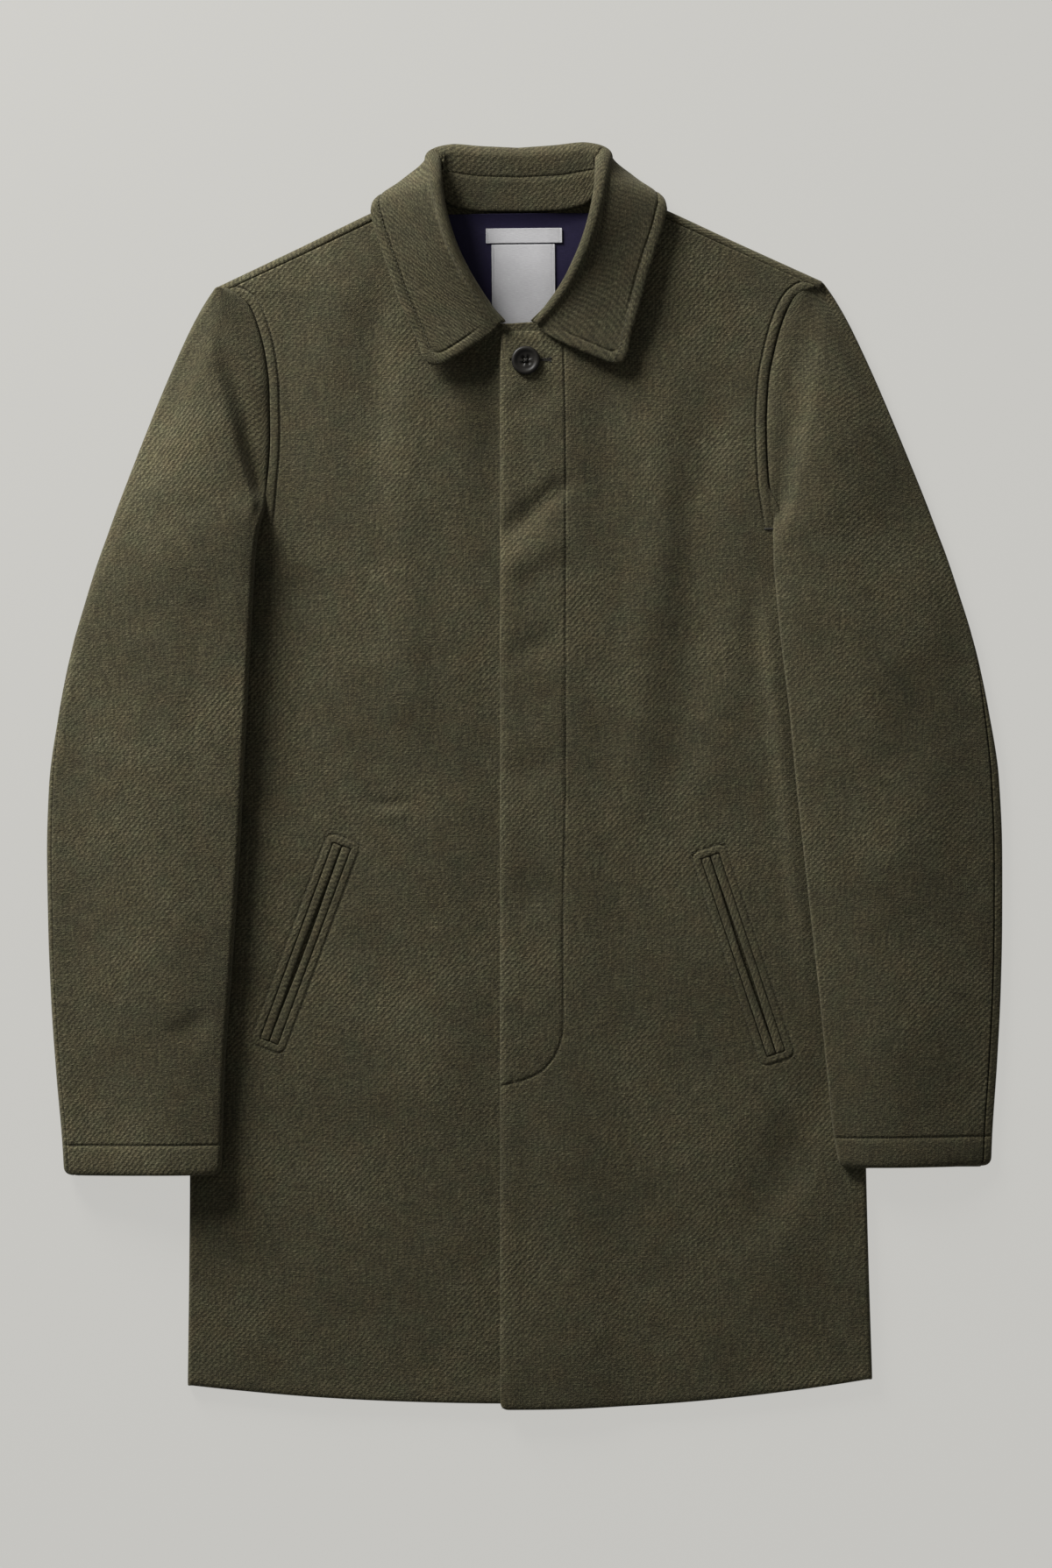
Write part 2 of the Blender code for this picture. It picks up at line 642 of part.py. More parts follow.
def wall(name, rows, thickness, finish, coat, flip=False, even=True):
    """A panel of cloth: a grid set to rows of points on its outer face and thickened inwards."""
    across, up = len(rows[0]) - 1, len(rows) - 1
    mesh = bpy.data.meshes.new(name)
    shape = bmesh.new()
    bmesh.ops.create_grid(shape, x_segments=across, y_segments=up, size=0.5)
    for vert in shape.verts:
        i = round((vert.co.x + 0.5) * across)
        j = round((vert.co.y + 0.5) * up)
        vert.co = rows[j][across - i if flip else i]
    shape.to_mesh(mesh)
    shape.free()
    mesh.shade_smooth()
    panel = add_piece(name, mesh, finish, coat)
    thicken = panel.modifiers.new("thickness", "SOLIDIFY")
    thicken.thickness = thickness
    thicken.offset = -1.0
    thicken.use_even_offset = even
    return panel


def pocket_frame(pocket):
    """The middle of a pocket's mouth, and its directions along and across the mouth, in plan."""
    sign = 1.0 if pocket.side == "left" else -1.0
    centre = np.array((sign * pocket.centre[0], pocket.centre[1]))
    along = np.array((sign * -math.sin(pocket.lean), math.cos(pocket.lean)))
    across = np.array((along[1], -along[0]))
    return centre, along, across


def pocket_cutter(pocket, cutters):
    """The block that opens a pocket's mouth through its front."""
    centre, along, across = pocket_frame(pocket)
    bpy.ops.mesh.primitive_cube_add(size=1.0, location=(*centre, CUTTER_HEIGHT))
    cutter = bpy.context.active_object
    cutter.name = f"pocket_cutter_{pocket.side}"
    width = 2.0 * (WELT_WIDTH + SEAM_GAP) + POCKET_SLIT
    cutter.scale = (width, POCKET_LENGTH + 2.0 * SEAM_GAP, CUTTER_DEPTH)
    cutter.rotation_euler.z = math.atan2(-along[0], along[1])
    as_cutter(cutter, cutters)
    return cutter


def pocket_welt(pocket, name, outward, finish, coat):
    """One of the two narrow welts that close a pocket's mouth, level with its front."""
    centre, along, across = pocket_frame(pocket)
    rows = []
    for step in np.linspace(-0.5, 0.5, WELT_ROWS + 1):
        row = []
        for reach in (POCKET_SLIT / 2.0, POCKET_SLIT / 2.0 + WELT_WIDTH):
            x, y = centre + along * step * POCKET_LENGTH + across * outward * reach
            row.append(Vector((x, y, float(front_top(x, y)) + WELT_RAISED)))
        rows.append(row)
    return wall(name, rows, CLOTH, finish, coat, flip=outward < 0.0)


def back_height(x, y):
    """The height of the back's inner face behind the neck."""
    turn = NECK_TURN * math.pi
    radius = math.pi * SHOULDER_FOLD / turn
    past = np.clip(y - shoulder_y(x) + radius * math.sin(turn), 0.0, radius)
    return ground(x, y) + radius - math.sqrt(radius**2 - past**2) + CLOTH


def patch_rows(x_low, x_high, y_low, y_high, lift, columns=4, rows=4):
    """Rows of points a height above the back's inner face, between edges that may slope with y."""
    made = []
    for j in range(rows + 1):
        y = y_low + (y_high - y_low) * j / rows
        left = x_low[0] + (x_low[1] - x_low[0]) * j / rows
        right = x_high[0] + (x_high[1] - x_high[0]) * j / rows
        row = []
        for i in range(columns + 1):
            x = left + (right - left) * i / columns
            row.append(Vector((x, y, float(back_height(x, y)) + lift)))
        made.append(row)
    return made


def button(finish, coat, cutters):
    """A four-hole button with a raised rim, turned about its axis and pierced."""
    x, y = BUTTON_CENTRE
    seat = float(front_top(x, y) + lap(x)) + REST_GAP
    half = BUTTON_HEIGHT / 2.0
    profile = [
        (0.0, half - BUTTON_DISH),
        (BUTTON_RADIUS - 2.6 * BUTTON_RIM, half - BUTTON_DISH),
        (BUTTON_RADIUS - 1.7 * BUTTON_RIM, half - 0.1 * BUTTON_DISH),
        (BUTTON_RADIUS - 0.8 * BUTTON_RIM, half),
        (BUTTON_RADIUS, half - BUTTON_EDGE),
        (BUTTON_RADIUS - 0.4 * BUTTON_EDGE, 0.0),
        (BUTTON_RADIUS - 2.0 * BUTTON_RIM, -half),
        (0.0, -half),
    ]
    mesh = bpy.data.meshes.new("button")
    spots = [(r, 0.0, z) for r, z in profile]
    mesh.from_pydata(spots, [(i, i + 1) for i in range(len(spots) - 1)], [])
    made = add_piece("button", mesh, finish, coat)
    made.location = (x, y, seat + half)
    turn = made.modifiers.new("turned", "SCREW")
    turn.steps = turn.render_steps = 20
    turn.use_merge_vertices = True
    turn.merge_threshold = 0.00005
    for quarter in range(4):
        angle = math.pi / 4.0 + quarter * math.pi / 2.0
        depth = 4.0 * BUTTON_HEIGHT
        bpy.ops.mesh.primitive_cylinder_add(vertices=8, radius=BUTTON_HOLE_RADIUS, depth=depth)
        hole = bpy.context.active_object
        hole.name = f"button_hole_{quarter}"
        reach = BUTTON_HOLE_REACH
        hole.location = (x + reach * math.cos(angle), y + reach * math.sin(angle), seat + half)
        as_cutter(hole, cutters)
        cut = made.modifiers.new(f"hole_{quarter}", "BOOLEAN")
        cut.object = hole
        cut.operation = "DIFFERENCE"
    return made


def main():
    for obj in list(bpy.data.objects):
        bpy.data.objects.remove(obj)
    coat = bpy.data.objects.new("mackintosh", None)
    bpy.context.scene.collection.objects.link(coat)
    cutters = bpy.data.collections.new("cutters")
    bpy.context.scene.collection.children.link(cutters)
    wool = "wool_twill"

    wall("back", back_rows(), CLOTH, wool, coat)
    fronts = {
        "left": wall("front_left", front_rows("left"), CLOTH, wool, coat),
        "right": wall("front_right", front_rows("right"), CLOTH, wool, coat, flip=True),
    }
    for side in ("left", "right"):
        top_rows, under_rows = sleeve_rows(side)
        wall(f"sleeve_top_{side}", top_rows, CLOTH, wool, coat, flip=side == "right")
        wall(f"sleeve_under_{side}", under_rows, CLOTH, wool, coat, flip=side == "right")
    lines = collar_lines()
    stand = [line[:3] for line in lines[STAND_END:-STAND_END]]
    wall("collar_stand", stand, COLLAR_CLOTH, wool, coat, flip=True, even=False)
    for line in lines:
        line[2] = line[2].lerp(line[3], 4.0 * SEAM_GAP / (line[3] - line[2]).length)
    fall = [line[2:] for line in lines]
    wall("collar_fall", fall, COLLAR_CLOTH, wool, coat, flip=True, even=False)
    for pocket in POCKETS:
        cut = fronts[pocket.side].modifiers.new("pocket_mouth", "BOOLEAN")
        cut.object = pocket_cutter(pocket, cutters)
        cut.operation = "DIFFERENCE"
        inner = -1.0 if pocket.side == "left" else 1.0
        pocket_welt(pocket, f"welt_front_{pocket.side}", inner, wool, coat)
        pocket_welt(pocket, f"welt_side_{pocket.side}", -inner, wool, coat)
    foot, head = LINING_HALF_FOOT, LINING_HALF_TOP
    lift = 1.6 * REST_GAP + LINING_CLOTH
    rows = patch_rows((-foot, -head), (foot, head), LINING_FOOT_Y, LINING_TOP_Y, lift, rows=12)
    wall("lining", rows, LINING_CLOTH, "lining", coat)
    for name, spot in LABELS.items():
        low, high = spot["x"]
        rows = patch_rows((low, low), (high, high), *spot["y"], lift + REST_GAP + LABEL_CLOTH)
        wall(name, rows, LABEL_CLOTH, "label", coat)
    button("horn", coat, cutters)


main()
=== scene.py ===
"""The looks of the mackintosh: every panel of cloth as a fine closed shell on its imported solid's form.

Metres, +Z up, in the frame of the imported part. The coat lies face up, its collar towards +Y, and "left"
is the wearer's left, which is +X. A panel is a grid of points on its outer face, worked out from tables
like those of the solids, with creases, sewn lines and rolled edges added, and then closed into a shell.
"""

import math
from collections import namedtuple

import bmesh
import bpy
import numpy as np
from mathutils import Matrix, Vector


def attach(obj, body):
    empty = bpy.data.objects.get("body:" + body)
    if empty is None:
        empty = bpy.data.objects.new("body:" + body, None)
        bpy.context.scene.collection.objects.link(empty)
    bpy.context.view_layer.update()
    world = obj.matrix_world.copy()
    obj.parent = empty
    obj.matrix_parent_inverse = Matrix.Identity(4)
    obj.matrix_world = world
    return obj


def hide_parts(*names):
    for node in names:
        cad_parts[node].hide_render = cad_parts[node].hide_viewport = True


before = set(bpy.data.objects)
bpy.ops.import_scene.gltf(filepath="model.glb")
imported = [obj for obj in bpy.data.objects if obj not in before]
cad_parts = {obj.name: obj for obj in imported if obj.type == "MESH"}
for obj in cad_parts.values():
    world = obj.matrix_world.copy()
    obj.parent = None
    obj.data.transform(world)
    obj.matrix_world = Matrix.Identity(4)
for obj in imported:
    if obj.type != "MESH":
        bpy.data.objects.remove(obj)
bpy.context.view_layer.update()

SIDES = {"left": 1.0, "right": -1.0}


def table(columns, *rows):
    """A short table: each row as a tuple with named columns."""
    row_kind = namedtuple("Row", columns)
    return [row_kind(*row) for row in rows]


# Cloth and gaps
CLOTH = 0.0021
COLLAR_CLOTH = 0.0028
LINING_CLOTH = 0.0007
LABEL_CLOTH = 0.0006
REST_GAP = 0.0006
SEAM_INSET = 0.0010
RIM_STEPS = 5

# Radii of the rounded folds, and how far the layers rise and over what run
SIDE_FOLD = 0.0035
SHOULDER_FOLD = 0.0050
SLEEVE_FOLD = {"left": 0.0027, "right": 0.0080}
SLEEVE_FOLD_REACH = {"left": 0.0024, "right": 0.0040}
CUFF_CORNER = 0.0060
SLEEVE_LOFT = {"left": 0.0130, "right": 0.0195}
COLLAR_LIFT = 0.0050
COLLAR_LIFT_HALF = 0.1150
COLLAR_LIFT_FADE = 0.0600
COLLAR_LIFT_FOOT_Y = 0.3300
COLLAR_LIFT_RUN = 0.0750
ARMHOLE_EDGE = 0.0100
ARMHOLE_RUN = 0.0500
CROWN_RUN = 0.0900
SLEEVE_CAP_LOFT = {"left": 0.0, "right": 0.0035}
SLEEVE_CAP_RUN = 0.0800
SLEEVE_TOP_SPREAD = 0.0900
SLEEVE_TOP_FOOT_Y = 0.0500
SLEEVE_TOP_RUN = {"left": 0.1500, "right": 0.2600}
SLEEVE_UNDER_SPREAD = 0.0160

# The bulk of the underarm and of the sleeve's seam lifts the body beside each sleeve
BULK = 0.0012
BULK_X = 0.2180
BULK_SPREAD = 0.0420
BULK_HEAD_Y = 0.2250
BULK_HEAD_RUN = 0.0600
BULK_FOOT_Y = -0.2600
BULK_FOOT_RUN = 0.3600

# How far the fronts run on under the sleeve's fold below the armhole
UNDER_SLEEVE = 0.0090
UNDER_SLEEVE_Y = 0.2280
UNDER_SLEEVE_RUN = 0.0360

# Body outline
HEM_SIDE_Y = -0.4700
FRONT_DROP = {"left": 0.0212, "right": 0.0167}
BACK_DROP = 0.0170
HEM_CORNER = 0.0060
NECK_HALF = 0.0680
NECK_BACK_Y = 0.4378
SHOULDER_TIP = (0.2353, 0.3825)
SHOULDER_SLOPE = 0.464
OVER_EDGE_TOP = -0.0160
OVER_EDGE_HEM = -0.0235
UNDER_EDGE = -0.0280
FLY_TOP_Y = 0.3000
FLY_HEAD_Y = 0.3455
LAP = 0.0033
LAP_END = 0.0300
LAP_FADE = 0.0500
UNDERARM_INSET = 0.0119
NECK_TURN = 0.12
NECK_BLEND = 0.0200

# Levels of the body: its half width and the height of its middle
BODY = table(
    "y side crown",
    (-0.47, 0.266, 0.0078),
    (-0.38, 0.264, 0.0078),
    (-0.313, 0.2628, 0.008),
    (-0.1, 0.2615, 0.0088),
    (0.05, 0.26, 0.0098),
    (0.14, 0.258, 0.0107),
    (0.25, 0.258, 0.0116),
    (0.35, 0.258, 0.0122),
    (0.46, 0.258, 0.0112),
)

# One row for each line across the upper fronts: the armhole end, then the fly or neckline end
YOKE = table(
    "arm_y arm_left arm_right over_x over_y under_x under_y turn",
    (0.122, 0.2585, 0.2585, None, 0.14, None, 0.14, 0.45),
    (0.134, 0.22, 0.23, None, 0.178, None, 0.178, 0.15),
    (0.152, 0.197, 0.215, None, 0.214, None, 0.214, 0.00),
    (0.191, 0.196, 0.202, None, 0.248, None, 0.248, 0.00),
    (0.228, 0.1913, 0.1975, None, 0.282, None, 0.285, 0.00),
    (0.268, 0.1898, 0.1945, None, 0.316, None, 0.32, 0.00),
    (0.303, 0.1916, 0.1948, -0.0133, 0.3457, -0.016, 0.352, 0.00),
    (0.329, 0.1965, 0.1975, 0.015, 0.3452, 0.012, 0.3505, 0.00),
    (0.351, 0.2028, 0.2027, 0.04, 0.37, 0.04, 0.37, 0.00),
    (0.368, 0.211, 0.2097, 0.054, 0.402, 0.054, 0.402, 0.00),
    (0.374, 0.218, 0.2175, 0.063, 0.43, 0.063, 0.43, 0.00),
    (0.3778, 0.2305, 0.2305, 0.069, 0.4515, 0.069, 0.4515, 0.00),
)
HEM_ROWS = 7

# How the back's turned edge goes down into the shoulder seam
SHOULDER_END = table(
    "reach drop",
    (0.0012, 0.0006),
    (0.0026, 0.0022),
    (0.006, 0.0036),
)

# Levels of the sleeves: the outer fold, the inner fold or armhole of each, and how far the hind-arm seam
# lies over the outer fold
SLEEVE = table(
    "y outer inner_left inner_right hind",
    (-0.3055, 0.36, 0.2418, 0.2374, 0.008),
    (-0.281, 0.3612, 0.2374, 0.2362, 0.008),
    (-0.225, 0.3655, 0.232, 0.2338, 0.008),
    (-0.17, 0.3688, 0.227, 0.2295, 0.008),
    (-0.115, 0.3705, 0.2215, 0.225, 0.008),
    (-0.06, 0.371, 0.216, 0.2208, 0.008),
    (-0.005, 0.369, 0.2105, 0.2176, 0.0075),
    (0.048, 0.3615, 0.206, 0.2142, 0.005),
    (0.1, 0.3508, 0.2002, 0.211, 0.001),
    (0.14, 0.339, 0.1966, 0.2084, -0.003),
    (0.168, 0.33, 0.1948, 0.2066, -0.004),
    (0.191, 0.3215, 0.1955, 0.2038, -0.004),
    (0.21, 0.3145, 0.1945, 0.2, -0.004),
    (0.228, 0.3075, 0.1913, 0.1975, -0.004),
    (0.268, 0.2915, 0.1898, 0.1945, -0.004),
    (0.303, 0.277, 0.1916, 0.1948, -0.004),
    (0.329, 0.2655, 0.1965, 0.1975, -0.004),
    (0.351, 0.255, 0.2028, 0.2027, -0.004),
    (0.368, 0.2455, 0.2105, 0.2095, -0.004),
    (0.377, 0.2395, 0.2175, 0.217, -0.004),
    (0.3815, 0.2362, 0.2265, 0.226, -0.001),
)

# Where a sleeve's inner fold passes into the armhole seam, and the sizes of its edges
SLEEVE_CAP_Y = {"left": 0.2200, "right": 0.2400}
UNDERARM_Y = 0.122
UNDER_HEAD_Y = 0.191
FOLD_RUN = 0.0300
SLEEVE_FOLD_RUN = 0.0550
SIDE_CLEAR = 0.0010
SIDE_GAP = 0.0023
SLEEVE_NARROW = 0.0400
SLEEVE_BROAD = 0.1200
SLEEVE_EDGE = 0.0060
SLEEVE_CREASE_END = 0.0200
SLEEVE_GRAIN = -0.05
SLEEVE_INSET = (0.0004, 0.0004, 0.0008, 0.0006)
CUFF_STITCH_ENDS = (14, 4)
ARMHOLE_STEP = 0.0012
TUCK_REACH = 0.0060
TUCK_DROP = 0.0046

# Where the hidden half of the sleeve starts as it passes the underarm
UNDERARM = table(
    "y inner",
    (0.048, 0.227),
    (0.1, 0.256),
    (0.14, 0.266),
    (0.168, 0.218),
)

# The collar from the middle of the back to its front point: the neck seam, the roll, the middle and the
# edge of the fall, the radius of the roll, and how far the fall has passed from under the back to the front
COLLAR = table(
    "neck roll middle edge fold over",
    ((0.0, 0.439, 0.0132), (0.0, 0.488, 0.009), (0.0, 0.455, 0.0), (0.0, 0.425), 0.009, 0.0),
    ((0.028, 0.4394, 0.0132), (0.028, 0.4895, 0.0095), (0.03, 0.455, 0.0), (0.032, 0.425), 0.009, 0.0),
    ((0.05, 0.4436, 0.0142), (0.05, 0.4912, 0.011), (0.055, 0.456, 0.0), (0.064, 0.425), 0.0085, 0.0),
    ((0.0625, 0.452, 0.016), (0.0668, 0.486, 0.019), (0.0815, 0.462, 0.001), (0.092, 0.428), 0.0068, 0.0),
    ((0.0645, 0.451, 0.018), (0.0655, 0.478, 0.027), (0.0935, 0.462, 0.004), (0.104, 0.4365), 0.0058, 0.0),
    ((0.0645, 0.448, 0.0188), (0.0642, 0.469, 0.0325), (0.096, 0.459, 0.017), (0.113, 0.4465), 0.0053, 0.5),
    ((0.064, 0.441, 0.019), (0.0628, 0.458, 0.037), (0.0955, 0.45, 0.027), (0.115, 0.438), 0.005, 1.0),
    ((0.061, 0.43, 0.019), (0.0592, 0.438, 0.039), (0.0885, 0.433, 0.03), (0.113, 0.427), 0.005, 1.0),
    ((0.055, 0.411, 0.019), (0.0514, 0.412, 0.037), (0.0785, 0.406, 0.0285), (0.1045, 0.401), 0.005, 1.0),
    ((0.043, 0.385, 0.0185), (0.0392, 0.388, 0.0315), (0.0664, 0.377, 0.0255), (0.0925, 0.364), 0.0047, 1.0),
    ((0.027, 0.362, 0.018), (0.026, 0.3665, 0.0255), (0.052, 0.353, 0.0225), (0.081, 0.332), 0.0045, 1.0),
    ((0.0165, 0.35, 0.0175), (0.0162, 0.3515, 0.0222), (0.0428, 0.331, 0.0207), (0.0788, 0.3116), 0.004, 1.0),
)

# The stand's share of the collar's height and the lines left off its ends, and where the point's finer
# lines, the fall and its sewn border start
STAND_SHARE = 0.62
STAND_TRIM = 42
STAND_INSET = (0.0004, 0.0006, 0.0004, 0.0004)
FALL_SEAM_INSET = 0.0002
POINT_START = 10.2
NEAR_BY = 0.2
FALL_START = 0.0120
FALL_RUN = 0.0100
BORDER_START = 0.0200
BORDER_RUN = 0.0220
BORDER_OFF = 0.3000

# How far the fall springs off the fronts, and how far its two leaves are moved along X below the shoulders
COLLAR_SPRING = 0.0062
COLLAR_SHIFT = 0.0038
COLLAR_SHIFT_Y = 0.3880
COLLAR_SHIFT_RUN = 0.0800
OVER_SHIFT_INNER = -0.0100
OVER_SHIFT_OUTER = 0.0050
OVER_SHIFT_X = 0.0200
OVER_SHIFT_SPREAD = 0.0450

# Button and buttonhole
BUTTON_CENTRE = (0.0042, 0.3225)
BUTTON_RADIUS = 0.0111
BUTTON_HEIGHT = 0.0036
HOLE_REACH = 0.0019
HOLE_RADIUS = 0.0011
THREAD_SINK = 0.0012
THREAD_LIFT = 0.0007
THREAD_CROSS = 0.0004
BUTTONHOLE_END = (0.0237, 0.3231)
BUTTONHOLE_DEPTH = 0.0016
BUTTONHOLE_SLIT = 0.0007
SLIT_MIDDLE_X = 0.0120
SLIT_REACH = 0.0200
SLIT_START = 0.0060
BAR_HALF = 0.0022

# Pockets: the mouth, the two welts in it, and the recess and sewn frame round them
POCKET_LENGTH = 0.1620
WELT_WIDTH = 0.0074
WELT_CLOTH = 0.0006
WELT_RISE = 0.0019
WELT_STAND = 0.0006
WELT_LEG = 0.0011
WELT_GAP = 0.0004
WELT_PARTING = 0.0011
WELT_EDGE = 0.0002
WELT_ROLL = 0.0012
WELT_ROLL_WIDTH = 0.0022
WELT_INSET = (0.0001, 0.0001, 0.0004, 0.0004)
POCKET_FRAME = 0.0064
POCKET_DEPTH = 0.0028
POCKET_WALL = 0.0012
POCKET_PUFF = 0.0004
POCKET_BACKING = 0.0024
POCKET_BACKING_START = 0.0010
POCKET_BACKING_RUN = 0.0060
Pocket = namedtuple("Pocket", "centre lean")
POCKETS = {
    "left": Pocket(centre=(0.1686, -0.1398), lean=math.radians(18.0)),
    "right": Pocket(centre=(0.1710, -0.1278), lean=math.radians(21.0)),
}

# Labels and lining in the neck
LABELS = {
    "label_upper": {"x": (-0.0255, 0.0331), "y": (0.4144, 0.4253)},
    "label_lower": {"x": (-0.0212, 0.0274), "y": (0.3430, 0.4128)},
}
LABEL_STITCH = 0.0013
LABEL_SWELL = 0.0003
LABEL_SWELL_RUN = 0.0120
LABEL_WAVE = 0.00012
LABEL_DIP = 0.00025
LABEL_DIP_WIDTH = 0.0005
LABEL_STEP = 0.0015
LINING_WAVE = 0.0002
LINING_STEP = 0.0022
LINING_REST = 0.0024
LINING_TOP_Y = 0.4366
LINING_FOOT_Y = 0.3300
LINING_HALF_TOP = 0.0640
LINING_HALF_FOOT = 0.0500

# Sewn lines
STITCH_DEPTH = 0.0009
STITCH_WIDTH = 0.0009
FAINT = 0.7
FLAT_TOPPED = 0.45
STITCH_PITCH = 0.0030
STITCH_LENGTH = 0.0020
THREAD_RADIUS = 0.00022
ON_CLOTH = np.array((0.0, 0.0, 0.6 * THREAD_RADIUS))

# Stitches of other sizes: their pitch, their length and the thread's radius
LABEL_THREAD = (0.0016, 0.0010, 0.00012)
TACK_THREAD = (0.0010, 0.0014, 0.00040)
HOLE_THREAD = (0.0011, 0.0013, 0.00038)
BAR_THREAD = (0.0011, 0.0013, 0.00042)
BUTTON_THREAD = 0.00042

# A stitch along its length: places from its middle, and widths
STITCH_RINGS = ((-0.5, 0.45), (-0.34, 0.95), (0.0, 1.10), (0.34, 0.95), (0.5, 0.45))
STITCH_SIDES = 6

# Places of the sewn lines
ARMHOLE_STITCH = 0.0075
ARMHOLE_STITCH_FOOT = 0.1850
ARMHOLE_STITCH_START = 0.0080
TACK_X = (0.1880, 0.1950)
TACK_Y = 0.1903
TACK_STEP = 0.0007
FLY_STITCH_TOP = 0.3180
FLY_PATH_STEP = 0.0020
COLLAR_STITCH = 0.0092
COLLAR_EDGE_INSET = 0.0012
COLLAR_CORNER = 0.0200
CUFF_STITCH = 0.0232

# Rolled edges and the padding beside sewn lines
EDGE_ROLL = 0.0060
HEM_ROLL = 0.0016
FLY_ROLL = 0.0018
FLY_PUFF = 0.0005
FLY_PUFF_WIDTH = 0.0180
FLY_HEAD_ROLL = 0.0022
FLY_HEAD_X = 0.0140
FLY_HEAD_FADE = 0.0100
ARMHOLE_PUFF = 0.0009
ARMHOLE_STITCH_RUN = 0.0200
CUFF_PUFF = 0.0007
CUFF_ROLL = 0.0012
CUFF_ROLL_WIDTH = 0.0050
SLEEVE_SEAM_ROLL = 0.0012
SLEEVE_SEAM_WIDTH = 0.0040
COLLAR_PUFF = 0.0008
COLLAR_WAVES = 0.6
COLLAR_ROLL = 0.0013
COLLAR_ROLL_WIDTH = 0.0042
STAND_SEAM_ROLL = 0.0008
STAND_SEAM_WIDTH = 0.0025
STAND_SEAM_STITCH = 0.0034

# The line sewn along the fly's inner edge and round to the front edge
FLY_STITCH = [
    (0.0330, 0.3600),
    (0.0345, 0.2760),
    (0.0332, 0.1265),
    (0.0318, -0.0095),
    (0.0288, -0.1360),
    (0.0288, -0.1856),
    (0.0278, -0.1990),
    (0.0250, -0.2095),
    (0.0192, -0.2202),
    (0.0087, -0.2301),
    (-0.0070, -0.2363),
    (-0.0225, -0.2398),
]

